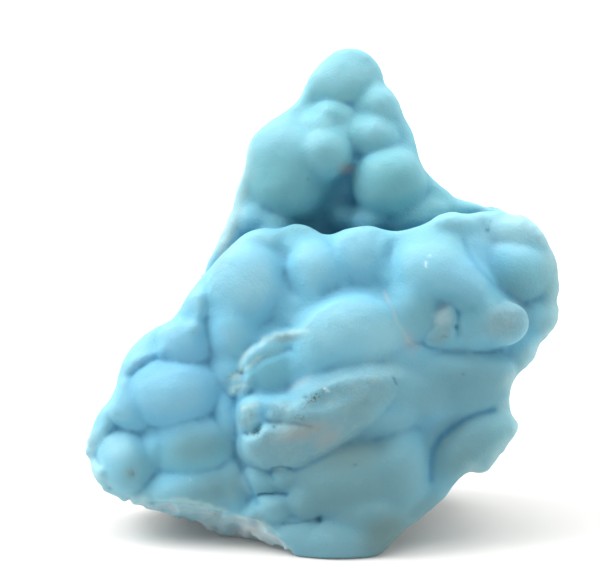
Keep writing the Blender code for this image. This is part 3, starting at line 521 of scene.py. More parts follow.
# Painted shade: darker blue where hollows and the lower sides of the balls lie in shade.
HOLLOW_SHADE_PATCHES = (
    (-11.6, 28.0, 1.1, 2.2, -15, 0.30),
    (29.8, 46.6, 4.8, 6.6, 0, 0.38),
    (-0.4, 71.4, 3.4, 4.6, 0, 0.45),
    (-5.4, 70.6, 5.0, 4.6, 0, 0.25),
    (-13.0, 48.4, 4.6, 4.0, 0, 0.14),
    (27.4, 51.4, 4.4, 1.8, 0, 0.30),
    (-9.4, 33.6, 4.0, 2.0, 0, 0.15),
)
# Paler milky skin, partly painted highlight where the lobes catch the most light.
MILKY_AND_HIGHLIGHT_PATCHES = (
    (38.0, 64.4, 7.0, 3.6, -8, 0.55),
    (5.0, 44.6, 8.0, 5.0, 5, 0.25),
    (12.0, 43.4, 7.0, 4.0, 0, 0.35),
    (-13.0, 54.0, 4.0, 4.6, 0, 0.30),
    (-40.0, 22.0, 3.4, 3.0, 0, 0.30),
    (13.0, 36.4, 4.0, 1.6, 0, 0.40),
)
CLAY_PATCHES = (
    (-3.0, 24.6, 6.4, 1.8, 12, 0.30),
    (1.6, 23.4, 3.0, 1.6, 22, 0.32),
    (18.0, 42.4, 1.6, 2.6, 20, 0.22),
    (5.2, 77.4, 1.7, 1.2, 0, 0.50),
    (24.6, 47.6, 1.8, 2.4, -12, 0.18),
    (36.8, 46.8, 4.4, 3.2, 10, 0.10),
    (-4.0, 34.4, 3.0, 0.9, 28, 0.22),
)
BROWN_PATCHES = (
    (-7.0, 43.5, 2.6, 0.9, 6, 0.32),
    (10.0, 30.6, 5.6, 3.2, 25, 0.14),
    (13.4, 3.6, 6.0, 4.0, 42, 0.50),
    (7.0, 20.0, 7.0, 3.0, 14, 0.25),
    (-4.0, 25.0, 5.0, 1.8, 12, 0.20),
    (20.0, 8.6, 5.0, 2.0, 38, 0.30),
)
# Denser teal skin, partly painted shade on the balls of the pinnacle and in the basins.
TEAL_AND_SHADE_PATCHES = (
    (-7.0, 73.0, 10.0, 8.5, 0, 0.80),
    (14.4, 74.4, 7.6, 7.6, 0, 0.85),
    (2.0, 79.0, 5.0, 5.0, 0, 0.50),
    (40.0, 55.0, 7.0, 5.0, 0, 0.45),
    (-24.4, 20.4, 8.0, 3.6, 8, 0.50),
    (-9.6, 36.6, 4.6, 4.6, 0, 0.45),
)
# Duller, greyer skin, partly painted shade on the lower faces that turn to the front.
GREY_AND_SHADE_PATCHES = (
    (5.0, 14.0, 19.0, 15.0, 0, 0.85),
    (28.0, 34.0, 15.0, 8.0, 0, 0.65),
    (28.0, 22.0, 10.0, 8.0, 35, 0.75),
    (-24.4, 22.2, 6.5, 3.4, 8, 0.55),
    (-20.0, 13.6, 9.0, 4.0, 12, 0.70),
    (-36.0, 17.0, 4.0, 5.0, 0, 0.35),
    (24.0, 47.0, 11.0, 6.0, 0, 0.35),
    (46.6, 52.0, 3.0, 13.0, 0, 0.45),
    (40.0, 52.0, 5.0, 4.0, 0, 0.35),
    (24.4, 46.0, 2.8, 4.6, -12, 0.75),
    (1.0, 23.4, 5.0, 2.4, 24, 0.45),
)
WORN_PATCHES = (
    (-2.0, 24.4, 15.0, 5.4, 20, 0.95),
    (6.0, 32.0, 13.0, 6.0, 24, 0.80),
    (-16.6, 34.2, 2.4, 2.6, 40, 0.60),
    (-7.4, 43.4, 4.4, 1.1, 6, 0.75),
    (-14.8, 27.8, 1.9, 2.8, -10, 0.90),
    (-7.2, 28.8, 3.2, 2.8, 0, 0.80),
    (-12.8, 7.4, 2.6, 1.6, -35, 0.70),
    (24.6, 47.4, 2.0, 3.0, -12, 0.70),
    (23.6, 43.8, 2.4, 1.8, 10, 0.70),
    (37.4, 46.8, 5.2, 4.0, 15, 0.75),
    (-18.6, 64.0, 2.0, 8.0, -20, 0.75),
    (-37.8, 16.4, 1.4, 1.3, 0, 0.80),
    (17.6, 28.0, 5.0, 4.0, 20, 0.40),
)
RUST_PATCHES = (
    (-1.6, 31.0, 2.8, 0.8, 40, 0.62),
    (-0.8, 31.7, 1.2, 0.7, 35, 1.00),
    (-4.0, 27.4, 1.2, 0.7, 0, 0.55),
    (-16.4, 36.4, 2.0, 0.7, 30, 0.40),
    (-12.6, 24.2, 2.0, 0.6, 0, 0.50),
    (-37.4, 16.3, 0.7, 0.6, 0, 0.60),
    (25.6, 43.8, 1.4, 0.5, 25, 0.45),
)

# Which way the worn tongue's grain runs, in degrees, and how drawn out it is.
TONGUE_FLOW = 27.0
FLOW_STRETCH = 7.0
# The pinnacle stands above this height on the face, which rises to the right by this much.
PINNACLE_FOOT = 62.0
PINNACLE_FOOT_SLOPE = 0.25
# How far around a place its hollowness is judged, and the shares of solid that make a hollow with painted
# shade and a knob with a painted highlight.
ENCLOSURE_REACH = 9.0
HOLLOW_SHADE_ENCLOSURE = (0.60, 0.80)
KNOB_HIGHLIGHT_ENCLOSURE = (-0.50, -0.34)
# How far a full valley and the foot of a crease lie below the surface around them: painted shade fills the
# valleys and creases, and a painted highlight the crowns.
FULL_VALLEY = 0.6
CREASE_DEPTH = (0.03, 0.16)
# How much bluer painted shade the deep creases get for their depth, and how wide the painted shade in a crack
# or pit is for its half width.
DEEP_CREASE_SHADE = 1.4
CRACK_AND_PIT_SHADE_WIDTH = 0.8

# The patches that show on the front alone, by the mark that they make.
FRONT_PATCHES = {
    "deep": DEEP_PATCHES,
    "teal": TEAL_AND_SHADE_PATCHES,
    "milky_and_highlight": MILKY_AND_HIGHLIGHT_PATCHES,
    "brown": BROWN_PATCHES,
    "clay": CLAY_PATCHES,
    "hollow": HOLLOW_SHADE_PATCHES,
    "grey_and_shade": GREY_AND_SHADE_PATCHES,
    "worn": WORN_PATCHES,
    "rust": RUST_PATCHES,
}
# Below this height the front ends where the surface lies this deep, over a range.
BACK_FADE = (12.0, 20.0)
BACK_TOP = 64.0
# The depths that are out of view, where fewer triangles are kept, and how strongly they are thinned.
OUT_OF_VIEW = (30.0, 34.0)
THINNING_LEVELS = 4
THINNING_BIAS = 10.0

# The break shows behind the outline and under this thickness of skin.
SIDE_FADE = (2.0, 5.0)
SKIN_THICKNESS = (4.5, 6.0)
# It also shows below the edge of the skin, this far left of the middle.
SKIN_EDGE_FADE = (-0.1, 0.5)
CRUST_START = (3.5, 5.5)
# The break is glassy further left and in patches, and never wholly.
GLASSY_START = (17.0, 26.0)
GLASSY_LEFT = 0.60
GLASSY_PATCHES = 0.35
GLASSY_MOST = 0.9
# Growth bands in the break: the first lies this far under the skin, and deeper ones repeat.
FIRST_BAND = 5.5
FIRST_BAND_WIDTH = 2.6
BAND_SPACING = 4.6
BAND_FADE = (0.1, 0.9)
DEEP_BANDS = 0.55
# How deep in the break the clay of the host rock begins and is full.
MATRIX_DEPTH = (15.0, 26.0)
BREAK_RIDGES = 0.55
# How ragged the edges of the plates are: at most, at the middle, more with each millimetre to the
# left, and at least.
RAGGED_EDGE = 0.28
RAGGED_MIDDLE = 0.2
RAGGED_LEFTWARDS = 0.15
RAGGED_LEAST = 0.15
# Where the rim is frayed, how strongly, and how near the rim.
FRAYED_LEFT = 0.7
FRAYED_LEFT_FROM = (26.0, 34.0)
FRAYED_BELOW = (-26.0, -18.0)
FRAYED_RIGHT = 0.3
FRAYED_RIGHT_FROM = (30.0, 36.0)
FRAYED_REACH = (-3.0, -1.0)
# The fine relief dies away towards the flat foot, over these heights.
FLOOR_CLEARANCE = (0.1, 0.9)

# Unevenness of the shape and of the edges of marks: amount, size in millimetres and seed.
UNEVENNESS = {
    "break_broad": (3.0, 15.0, 2),
    "break_middle": (1.7, 8.0, 3),
    "break_small": (0.7, 4.0, 4),
    "plate_edges": (1.0, 1.8, 20),
    "fold_edges": (0.22, 1.1, 21),
    "skin_edge": (0.5, 2.6, 31),
    "bites_broad": (1.0, 2.8, 33),
    "bites_fine": (0.5, 1.2, 34),
    "skin_broad": (0.16, 4.6, 41),
    "skin_fine": (0.05, 1.6, 42),
    "worn_flow": (0.10, 1.5, 43),
    "worn_fine": (0.07, 1.1, 44),
    "break_ridges": (2.0, 3.4, 45),
    "break_fine": (0.30, 1.3, 46),
    "skin_thickness": (1.6, 5.0, 47),
    "bands_broad": (1.4, 6.0, 48),
    "bands_fine": (0.5, 2.0, 49),
    "side_edge": (1.5, 6.0, 52),
    "rims_and_highlights": (0.35, 1.4, 53),
    "thin_edge_lights": (0.5, 2.2, 55),
    "seam": (0.12, 1.2, 57),
}
# Random patches in a mark: their size in millimetres, seed, and the range that they fade over.
PATCHINESS = {
    "bands": (9.0, 50, -0.4, 0.4),
    "matrix": (7.0, 51, -0.3, 0.5),
    "rims_and_highlights": (3.4, 54, -0.5, 0.5),
    "glassy": (2.6, 56, -0.2, 0.4),
    "glints": (0.8, 58, -0.5, 0.4),
}
# What brings the two kinds of random values to the range from -1 to 1.
SPLINE_GAIN = 1.8
TABLE_GAIN = 1.4
# The table of random values that repeats over the surface, and the shift to places in it.
TABLE_SIDE = 32
TABLE_SHIFT = 1000.0

# Noise patterns of the finishes: size in millimetres, detail and roughness. The grain of real
# aragonite is finer than a tenth of a millimetre, and is drawn coarser here so that it shows.
SKIN_PATTERNS = {
    "broad": (14.0, 3.0, 0.55),
    "mottle": (2.6, 4.0, 0.6),
    "grain": (0.55, 3.0, 0.6),
}
PAPER_PATTERNS = {
    "fibres": (30.0, 2.0, 0.5),
}
# Marks that a pattern breaks up, as the product of two: the values where each starts and is full,
# and its least share.
BROKEN_UP = {
    "worn_grain": (("worn", 0.10, 0.75, 0.0), ("grain", 0.30, 0.62, 0.55)),
    "specks": (("rust", 0.0, 1.0, 0.0), ("grain", 0.50, 0.60, 0.0)),
    "stain": (("matrix", 0.0, 1.0, 0.0), ("mottle", 0.40, 0.60, 0.0)),
}
# Layers of colour, the lowest first: the mark or pattern that places each, the values where it
# starts and is full, how much it covers, and its colour.
CRUST_LAYERS = (
    ("mottle", 0.45, 0.75, 0.50, "crust_cream"),
)
FRESH_LAYERS = (
    ("band", 0.0, 1.0, 1.0, "break_blue"),
    ("stain", 0.0, 1.0, 1.0, "break_stain"),
    ("glass", 0.0, 1.0, 1.0, "break_glass"),
)
# Some layers paint light and shade: shade into hollows, valleys, creases, cracks and pits and in part of the
# teal and greyer patches, and highlights on knobs, crowns, the outline and glints and in part of the milky
# patches and rims.
SURFACE_LAYERS = (
    ("sea", 0.0, 1.0, 1.0, "sea_skin"),
    ("deep", 0.0, 1.0, 1.0, "deep_skin"),
    ("knob", 0.0, 1.0, 0.40, "pale_skin_and_highlight"),
    ("crown", 0.0, 1.0, 0.26, "pale_skin_and_highlight"),
    ("broad", 0.45, 0.75, 0.28, "pale_skin_and_highlight"),
    ("mottle", 0.52, 0.80, 0.22, "pale_skin_and_highlight"),
    ("teal", 0.0, 1.0, 1.0, "teal_skin_and_shade"),
    ("grey_and_shade", 0.0, 1.0, 1.0, "grey_skin_and_shade"),
    ("milky_and_highlight", 0.0, 1.0, 1.0, "milky_skin_and_highlight"),
    ("hollow", 0.0, 1.0, 0.62, "hollow"),
    ("valley", 0.0, 1.0, 0.55, "valley"),
    ("crease", 0.0, 1.0, 0.60, "crease"),
    ("worn_grain", 0.0, 1.0, 1.0, "crust"),
    ("brown", 0.0, 1.0, 1.0, "brown_skin"),
    ("clay", 0.0, 1.0, 1.0, "clay_skin"),
    ("edge", 0.0, 1.0, 0.40, "thin_edge_light"),
    ("broken", 0.0, 1.0, 1.0, "fresh"),
    ("specks", 0.0, 1.0, 1.0, "rust"),
    ("rim", 0.0, 1.0, 0.42, "rim"),
    ("seam", 0.0, 1.0, 0.28, "seam"),
    ("glint", 0.0, 1.0, 0.45, "glint"),
    ("crack_and_pit_shade", 0.0, 1.0, 1.0, "crack"),
)
PAPER_LAYERS = (
    ("fibres", 0.3, 0.7, 1.0, "floor_shade"),
)
WHITE = (1.0, 1.0, 1.0, 1.0)
# The sockets that mix colours, which share their names with others of the same node.
MIX_SHARE = 0
MIX_FIRST = 6
MIX_SECOND = 7
MIX_RESULT = 2
# How closely the light of the ceiling gathers around its brightest part.
CEILING_FOCUS = 3.0


def blend(first, second, softness):
    """The larger of two fields, with the crease between them filled to a soft fillet."""
    share = np.clip(0.5 + 0.5 * (first - second) / softness, 0.0, 1.0)
    return second + (first - second) * share + softness * share * (1.0 - share)


def trim(first, second, softness):
    """The smaller of two fields, with the edge between them rounded."""
    return -blend(-first, -second, softness)


def spread_with_depth(across, up, out):
    """Where a place seen on the face lies once it is this far out."""
    scale = 1.0 - out / VIEW_DISTANCE
    return VIEW_ACROSS + (across - VIEW_ACROSS) * scale, VIEW_UP + (up - VIEW_UP) * scale


def seen_outline(outline, out):
    return np.array([spread_with_depth(across, up, out) for across, up in outline])


def rounded(points, passes=2):
    """Cut the corners of a closed outline until it runs smoothly."""
    for _ in range(passes):
        following = np.roll(points, -1, axis=0)
        pairs = np.stack((0.75 * points + 0.25 * following, 0.25 * points + 0.75 * following), axis=1)
        points = pairs.reshape(-1, 2)
    return points


def distance_to_segment(across, up, start, end):
    run = end - start
    length = max(float(run @ run), 1e-9)
    along = np.clip(((across - start[0]) * run[0] + (up - start[1]) * run[1]) / length, 0.0, 1.0)
    return np.hypot(across - start[0] - along * run[0], up - start[1] - along * run[1])


def depth_inside(outline, across, up):
    """Distance in from a closed outline, negative outside it."""
    nearest = np.full(across.shape, 1e6)
    inside = np.zeros(across.shape, dtype=bool)
    for start, end in zip(outline, np.roll(outline, -1, axis=0)):
        nearest = np.minimum(nearest, distance_to_segment(across, up, start, end))
        if start[1] == end[1]:
            continue
        crossing = start[0] + (up - start[1]) * (end[0] - start[0]) / (end[1] - start[1])
        straddles = (start[1] > up) != (end[1] > up)
        inside ^= straddles & (across < crossing)
    return np.where(inside, nearest, -nearest)


def side_of_line(line, across, up):
    """Distance from an open line, positive below it as the line runs from left to right."""
    nearest = np.full(across.shape, 1e6)
    side = np.ones(across.shape)
    for start, end in zip(line, line[1:]):
        start = np.array(start)
        end = np.array(end)
        distance = distance_to_segment(across, up, start, end)
        turn = (end[0] - start[0]) * (up - start[1]) - (end[1] - start[1]) * (across - start[0])
        closer = distance < nearest
        side = np.where(closer, np.where(turn < 0.0, 1.0, -1.0), side)
        nearest = np.where(closer, distance, nearest)
    return nearest * side


def smooth_noise(axes, wavelength, seed):
    """Smooth random values from -1 to 1 over the block, varying over this many millimetres."""
    rng = np.random.default_rng(seed)
    weights = []
    for axis in axes:
        place = (axis - axis[0]) / wavelength
        knots = np.arange(int(place[-1]) + 4)
        offset = np.abs(place[:, None] + 1.0 - knots[None, :])
        near = 2.0 / 3.0 - offset ** 2 + offset ** 3 / 2.0
        far = (2.0 - offset) ** 3 / 6.0
        weights.append(np.where(offset < 1.0, near, np.where(offset < 2.0, far, 0.0)))
    values = rng.uniform(-1.0, 1.0, [w.shape[1] for w in weights])
    for w in weights:
        values = np.tensordot(values, w, axes=(0, 1))
    return values * SPLINE_GAIN


def crease_level(lobes, share, across, up):
    """How far out the creases between the lobes lie, as a smooth surface over the face."""
    total = np.full(across.shape, 1e-9)
    level = np.zeros(across.shape)
    for lobe_across, lobe_up, crown, half_width, half_height, depth, _ in lobes:
        near = ((across - lobe_across) ** 2 + (up - lobe_up) ** 2) / (2.0 * LEVEL_REACH ** 2)
        weight = np.exp(-near) * half_width * half_height + 1e-9
        total += weight
        level += weight * (crown - share * depth)
    return level / total


def add_lobes(field, axes, groups, lift):
    """Grow every lobe into the field, looking only at the part of the block around it."""
    for lobes, spread, softness in groups:
        for across, up, crown, half_width, half_height, depth, roll in lobes:
            middle_out = crown - depth
            middle = (*spread_with_depth(across, up, crown), middle_out)
            sizes = (half_width * spread, half_height * spread, depth)
            reach = max(sizes[0], sizes[1]) + LOBE_MARGIN
            reaches = (reach, reach, depth + LOBE_MARGIN)
            box = tuple(
                slice(*np.searchsorted(axis, (centre - r, centre + r)))
                for axis, centre, r in zip(axes, middle, reaches)
            )
            a, u, o = np.meshgrid(*(axis[part] for axis, part in zip(axes, box)), indexing="ij", sparse=True)
            a = a - middle[0]
            u = u - middle[1]
            o = o - middle[2] - lift[box[0], box[1], None]
            turn = math.radians(roll)
            along = a * math.cos(turn) + u * math.sin(turn)
            rise = u * math.cos(turn) - a * math.sin(turn)
            ratio = np.sqrt((along / sizes[0]) ** 2 + (rise / sizes[1]) ** 2 + (o / sizes[2]) ** 2) + 1e-6
            steepness = np.sqrt(
                (along / sizes[0] ** 2) ** 2 + (rise / sizes[1] ** 2) ** 2 + (o / sizes[2] ** 2) ** 2
            ) + 1e-6
            inside = ratio * (1.0 - ratio) / steepness
            field[box] = blend(field[box], np.minimum(inside, min(sizes)), softness)


def side_walls(outline, edge_out, taper, sag, axes):
    """Distance in from the sides, which draw in and sag towards the back."""
    across, up = np.meshgrid(axes[0], axes[1], indexing="ij")
    flat = depth_inside(rounded(seen_outline(outline, edge_out)), across, up)
    walls = np.empty([len(axis) for axis in axes])
    for index, out in enumerate(axes[2]):
        behind = max(edge_out - out, 0.0)
        steps = sag * behind / (axes[1][1] - axes[1][0])
        whole = int(steps)
        part = steps - whole
        moved = np.pad(flat, ((0, 0), (0, whole + 1)), mode="edge")
        count = flat.shape[1]
        moved = moved[:, whole:whole + count] * (1.0 - part) + moved[:, whole + 1:whole + 1 + count] * part
        walls[:, :, index] = moved - taper * behind
    return walls


def back_of(axes):
    across, up, out = np.meshgrid(*axes, indexing="ij", sparse=True)
    field = None
    for facet_across, facet_up, facet_out, leftwards, upwards in BACK_FACETS:
        plane = facet_out - leftwards * (across - facet_across) + upwards * (up - facet_up)
        inside = (out - plane) / math.sqrt(1.0 + leftwards ** 2 + upwards ** 2)
        field = inside if field is None else trim(field, inside, BACK_ROUNDING)
    return field


def uneven_block(axes, name):
    """The named unevenness over the whole block."""
    amount, size_mm, seed = UNEVENNESS[name]
    return amount * smooth_noise(axes, size_mm, seed)


def closeness(distance, width):
    """A bell from 1 where the distance is nothing down to almost 0 at twice the width."""
    return np.exp(-(distance / width) ** 2)


def lobed_skin(axes, groups, level, lift):
    """Lobes grown over the smooth level that their creases lie on."""
    skin = np.repeat(level[:, :, None], len(axes[2]), axis=2) - axes[2][None, None, :]
    add_lobes(skin, axes, groups, lift)
    return skin


def break_roughness(axes):
    """How far the broken sides and back stand out from their smooth shape."""
    roughness = uneven_block(axes, "break_broad") + uneven_block(axes, "break_middle")
    return roughness + uneven_block(axes, "break_small") - BREAK_FILL


def with_sides(field, sides, axes, roughness):
    """The field cut off by its side walls, which turn rough behind the edge."""
    outline, edge_out, taper, sag, fade = sides
    walls = side_walls(outline, edge_out, taper, sag, axes)
    behind_edge = np.clip((edge_out - SMOOTH_EDGE - axes[2][None, None, :]) / fade, 0.0, 1.0)
    return trim(field, walls + roughness * behind_edge, EDGE_ROUNDING)


def specimen_field(axes, lift):
    """Distance in from the surface at each point of the block, and how far below the grown skin it is."""
    across, up = np.meshgrid(axes[0], axes[1], indexing="ij")
    lower_lobes = [lobe for lobes, _, _ in LOWER_GROUPS[:LEVEL_GROUPS] for lobe in lobes]
    level = crease_level(lower_lobes, LOWER_CREASES, across, up) + lift
    lower_skin = lobed_skin(axes, LOWER_GROUPS, level, lift)
    recess = [(a, u, o, size, size, 0.0, 0) for a, u, o, size in RECESS_FLOOR]
    level = crease_level((*PINNACLE_LOBES, *recess), PINNACLE_CREASES, across, up)
    pinnacle_skin = lobed_skin(axes, PINNACLE_GROUPS, level, np.zeros_like(lift))
    roughness = break_roughness(axes)
    lower = with_sides(lower_skin, LOWER_SIDES, axes, roughness)
    pinnacle = with_sides(pinnacle_skin, PINNACLE_SIDES, axes, roughness)
    skin_depth = np.where(lower >= pinnacle, lower_skin, pinnacle_skin)
    field = blend(lower, pinnacle, PINNACLE_JOIN)
    return trim(field, back_of(axes) + roughness, EDGE_ROUNDING), skin_depth


def ragged_share(across):
    return np.clip(RAGGED_MIDDLE - RAGGED_LEFTWARDS * across, RAGGED_LEAST, 1.0)


def face_lift(across, up):
    """Plates that stand proud of the face with ragged edges, hollows, cracks and the broken crust."""
    lift = np.zeros(across.shape)
    ragged = RAGGED_EDGE * ragged_share(across) * uneven_face(across, up, "plate_edges")
    thinning = np.clip((PLATES_FADE[1] - across) / (PLATES_FADE[1] - PLATES_FADE[0]), 0.0, 1.0)
    for plates, share in ((PLATES, thinning), (CHIPS, 1.0)):
        for outline, height, softness in plates:
            depth = depth_inside(rounded(seen_outline(outline, 0.0), 1), across, up) + ragged
            lift += share * height * np.clip(0.5 + depth / softness, 0.0, 1.0)
    for middle_across, middle_up, half_width, half_height, depth in HOLLOWS:
        ratio = ((across - middle_across) / half_width) ** 2 + ((up - middle_up) / half_height) ** 2
        lift -= depth * np.exp(-ratio ** 1.5)
    for line, half_width, depth in CRACKS:
        lift -= depth * closeness(line_distance(line, across, up), half_width)
    for middle_across, middle_up, half_width, depth in PITS:
        lift -= depth * closeness(np.hypot(across - middle_across, up - middle_up), half_width)
    below = side_of_line(SKIN_EDGE, across, up) + uneven_face(across, up, "skin_edge")
    left = np.clip((CRUST_LEFT_OF - across) / CRUST_SETS_IN, 0.0, 1.0)
    return lift - CRUST_SLOPE * np.clip(below, 0.0, CRUST_FALL) * left


def settled(field):
    """The field averaged a little with its neighbours, so that no wall is thinner than the grain."""
    for axis in range(3):
        ends = ((1, 1) if other == axis else (0, 0) for other in range(3))
        padded = np.moveaxis(np.pad(field, tuple(ends), mode="edge"), axis, 0)
        averaged = 0.25 * padded[:-2] + 0.5 * padded[1:-1] + 0.25 * padded[2:]
        field = np.moveaxis(averaged, 0, axis)
    return field


def without_pinches(field):
    """Fill each grid square that is inside at two opposite corners only, where the skin would meet itself."""
    for _ in range(3):
        for first, second in ((0, 1), (0, 2), (1, 2)):
            corners = []
            for ends in ((0, 0), (1, 1), (0, 1), (1, 0)):
                place = [slice(None)] * 3
                place[first] = slice(ends[0], field.shape[first] - 1 + ends[0])
                place[second] = slice(ends[1], field.shape[second] - 1 + ends[1])
                corners.append(field[tuple(place)])
            low, high, left, right = (corner > 0.0 for corner in corners)
            pinched = (low & high & ~left & ~right) | (left & right & ~low & ~high)
            for corner in corners:
                corner[pinched] = np.maximum(corner[pinched], PINCH_FILL)
    return field


def surface_of(field, axes):
    """The closed skin where the field is zero: one vertex in each cell it crosses, joined by quads."""
    inside = field > 0.0
    count = np.zeros([n - 1 for n in field.shape], dtype=np.int8)
    size = count.shape
    for a, u, o in np.ndindex(2, 2, 2):
        count += inside[a:a + size[0], u:u + size[1], o:o + size[2]]
    cells = np.argwhere((count > 0) & (count < 8))
    number = np.full(size, -1, dtype=np.int64)
    number[tuple(cells.T)] = np.arange(len(cells))
    places = np.zeros((len(cells), 3))
    crossings = np.zeros(len(cells))
    quads = []
    for axis in range(3):
        step = np.eye(3, dtype=int)[axis]
        sides = [np.eye(3, dtype=int)[other] for other in range(3) if other != axis]
        for first, second in np.ndindex(2, 2):
            start = cells + first * sides[0] + second * sides[1]
            value = field[tuple(start.T)]
            end_value = field[tuple((start + step).T)]
            crossed = (value > 0.0) != (end_value > 0.0)
            share = np.where(crossed, value / np.where(crossed, value - end_value, 1.0), 0.0)
            places += np.where(crossed[:, None], start + share[:, None] * step, 0.0)
            crossings += crossed
        near = inside[tuple(slice(0, -1) if other == axis else slice(1, -1) for other in range(3))]
        far = inside[tuple(slice(1, None) if other == axis else slice(1, -1) for other in range(3))]
        edges = np.argwhere(near != far)
        leaving = near[tuple(edges.T)]
        base = edges + 1 - step
        ring = [base - sides[0] - sides[1], base - sides[1], base, base - sides[0]]
        faces = np.stack([number[tuple(cell.T)] for cell in ring], axis=1)
        flip = leaving if axis != 1 else ~leaving
        quads.append(np.where(flip[:, None], faces, faces[:, ::-1]))
    places /= crossings[:, None]
    spacing = np.array([axis[1] - axis[0] for axis in axes])
    origin = np.array([axis[0] for axis in axes])
    return origin + places * spacing, np.concatenate(quads)


def height_of(up, out):
    """How far a place on the leaning face is above the floor."""
    return up * math.cos(FACE_LEAN) + out * math.sin(FACE_LEAN)


def standing(points):
    """Points on the leaning face, as metres in the object's own axes."""
    across, up, out = points.T
    back = up * math.sin(FACE_LEAN) - out * math.cos(FACE_LEAN)
    return np.stack((across - CENTRE_ACROSS, back - CENTRE_DEPTH, height_of(up, out)), axis=1) * MM


def block_axes(grain):
    return [np.arange(low, high, grain) for low, high in (ACROSS_RANGE, UP_RANGE, OUT_RANGE)]


def noise_at(places, wavelength, seed):
    """Smooth random values from -1 to 1 at any places, given as rows of coordinates."""
    rng = np.random.default_rng(seed)
    table = rng.uniform(-1.0, 1.0, (TABLE_SIDE,) * places.shape[1])
    scaled = places / wavelength + TABLE_SHIFT
    corner = np.floor(scaled).astype(int)
    share = scaled - corner
    share = share * share * (3.0 - 2.0 * share)
    total = np.zeros(len(places))
    for ends in np.ndindex(*(2,) * places.shape[1]):
        weight = np.prod(np.where(np.array(ends) == 1, share, 1.0 - share), axis=1)
        total += weight * table[tuple(((corner + ends) % TABLE_SIDE).T)]
    return total * TABLE_GAIN


def uneven(places, name):
    """The named unevenness at any places."""
    amount, size_mm, seed = UNEVENNESS[name]
    return amount * noise_at(places, size_mm, seed)


def uneven_face(across, up, name):
    """The named unevenness over a grid of places on the face."""
    places = np.stack((across.ravel(), up.ravel()), axis=1)
    return uneven(places, name).reshape(across.shape)


def patchy(points, name):
    """Random patches, from 0 between them to 1 inside them."""
    size_mm, seed, low, high = PATCHINESS[name]
    return soft_step(noise_at(points, size_mm, seed), low, high)


def line_distance(line, across, up):
    nearest = np.full(across.shape, 1e6)
    for start, end in zip(line, line[1:]):
        nearest = np.minimum(nearest, distance_to_segment(across, up, np.array(start), np.array(end)))
    return nearest


def patches(spots, across, up):
    """Soft-edged patches on the face: across, up, half width, half height, roll and strength."""
    total = np.zeros(across.shape)
    for middle_across, middle_up, half_width, half_height, roll, strength in spots:
        turn = math.radians(roll)
        a = across - middle_across
        u = up - middle_up
        along = a * math.cos(turn) + u * math.sin(turn)
        rise = u * math.cos(turn) - a * math.sin(turn)
        ratio = (along / half_width) ** 2 + (rise / half_height) ** 2
        total = np.maximum(total, strength * np.exp(-ratio ** 1.5))
    return total


def soft_step(values, low, high):
    share = np.clip((values - low) / (high - low), 0.0, 1.0)
    return share * share * (3.0 - 2.0 * share)


def sampled(block, points, axes):
    """The block's values at the points, blended between the grid places around each."""
    places = np.stack([(points[:, n] - axis[0]) / (axis[1] - axis[0]) for n, axis in enumerate(axes)], axis=1)
    places = np.clip(places, 0.0, np.array(block.shape) - 1.001)
    corner = places.astype(int)
    share = places - corner
    total = np.zeros(len(points))
    for ends in np.ndindex(2, 2, 2):
        weight = np.prod(np.where(np.array(ends) == 1, share, 1.0 - share), axis=1)
        total += weight * block[tuple((corner + ends).T)]
    return total


def drawn_to_surface(points, field, axes):
    """The points moved onto the exact skin, which takes the steps of the grid out of it."""
    step = axes[0][1] - axes[0][0]
    for _ in range(2):
        value = sampled(field, points, axes)
        slope = np.stack([
            sampled(field, points + step * way, axes) - sampled(field, points - step * way, axes)
            for way in np.eye(3)
        ], axis=1) / (2.0 * step)
        steepness = np.maximum(np.sum(slope ** 2, axis=1), 0.1)
        move = np.clip(value / np.sqrt(steepness), -0.4 * step, 0.4 * step)
        points = points - slope * (move / np.sqrt(steepness))[:, None]
    return points


def corner_normals(points, faces):
    first = points[faces[:, 2]] - points[faces[:, 0]]
    second = points[faces[:, 3]] - points[faces[:, 1]]
    facing = np.cross(first, second)
    normals = np.zeros_like(points)
    for corner in range(4):
        for axis in range(3):
            normals[:, axis] += np.bincount(faces[:, corner], facing[:, axis], len(points))
    return normals / np.maximum(np.linalg.norm(normals, axis=1, keepdims=True), 1e-9)


def neighbour_average(values, edges):
    """Each point's value averaged with those at the other ends of its edges."""
    count = np.bincount(edges.ravel(), minlength=len(values)).astype(float)
    total = np.bincount(edges[:, 0], values[edges[:, 1]], len(values))
    total += np.bincount(edges[:, 1], values[edges[:, 0]], len(values))
    return 0.5 * values + 0.5 * total / np.maximum(count, 1.0)


def box_average(block, width, axis):
    """The block averaged over this many cells along one axis."""
    ends = [(width // 2 + 1, width // 2) if n == axis else (0, 0) for n in range(3)]
    total = np.cumsum(np.pad(block, ends, mode="edge"), axis=axis, dtype=np.float32)
    count = total.shape[axis]
    upper = np.take(total, np.arange(width, count), axis=axis)
    lower = np.take(total, np.arange(0, count - width), axis=axis)
    return (upper - lower) / width


def enclosure(field, axes):
    """The share of solid around each place: a half on a flat face, more in a hollow, less on a knob."""
    solid = (field > 0.0).astype(np.float32)
    width = int(round(ENCLOSURE_REACH / (axes[0][1] - axes[0][0])))
    for axis in (0, 1, 2, 0, 1, 2):
        solid = box_average(solid, width, axis)
    return solid


def valley_depth(points, normals, edges, passes):
    """How far each point lies below the surface around it, in millimetres."""
    smooth = [points[:, axis] for axis in range(3)]
    for _ in range(passes):
        smooth = [neighbour_average(values, edges) for values in smooth]
    return np.sum((np.stack(smooth, axis=1) - points) * normals, axis=1)


def near_lines(lines, across, up, width, wander=0.0):
    """How close each place is to the nearest of the lines, which wander a little."""
    distance = np.min([line_distance(line, across, up) for line in lines], axis=0)
    return closeness(np.maximum(distance + wander, 0.0), width)


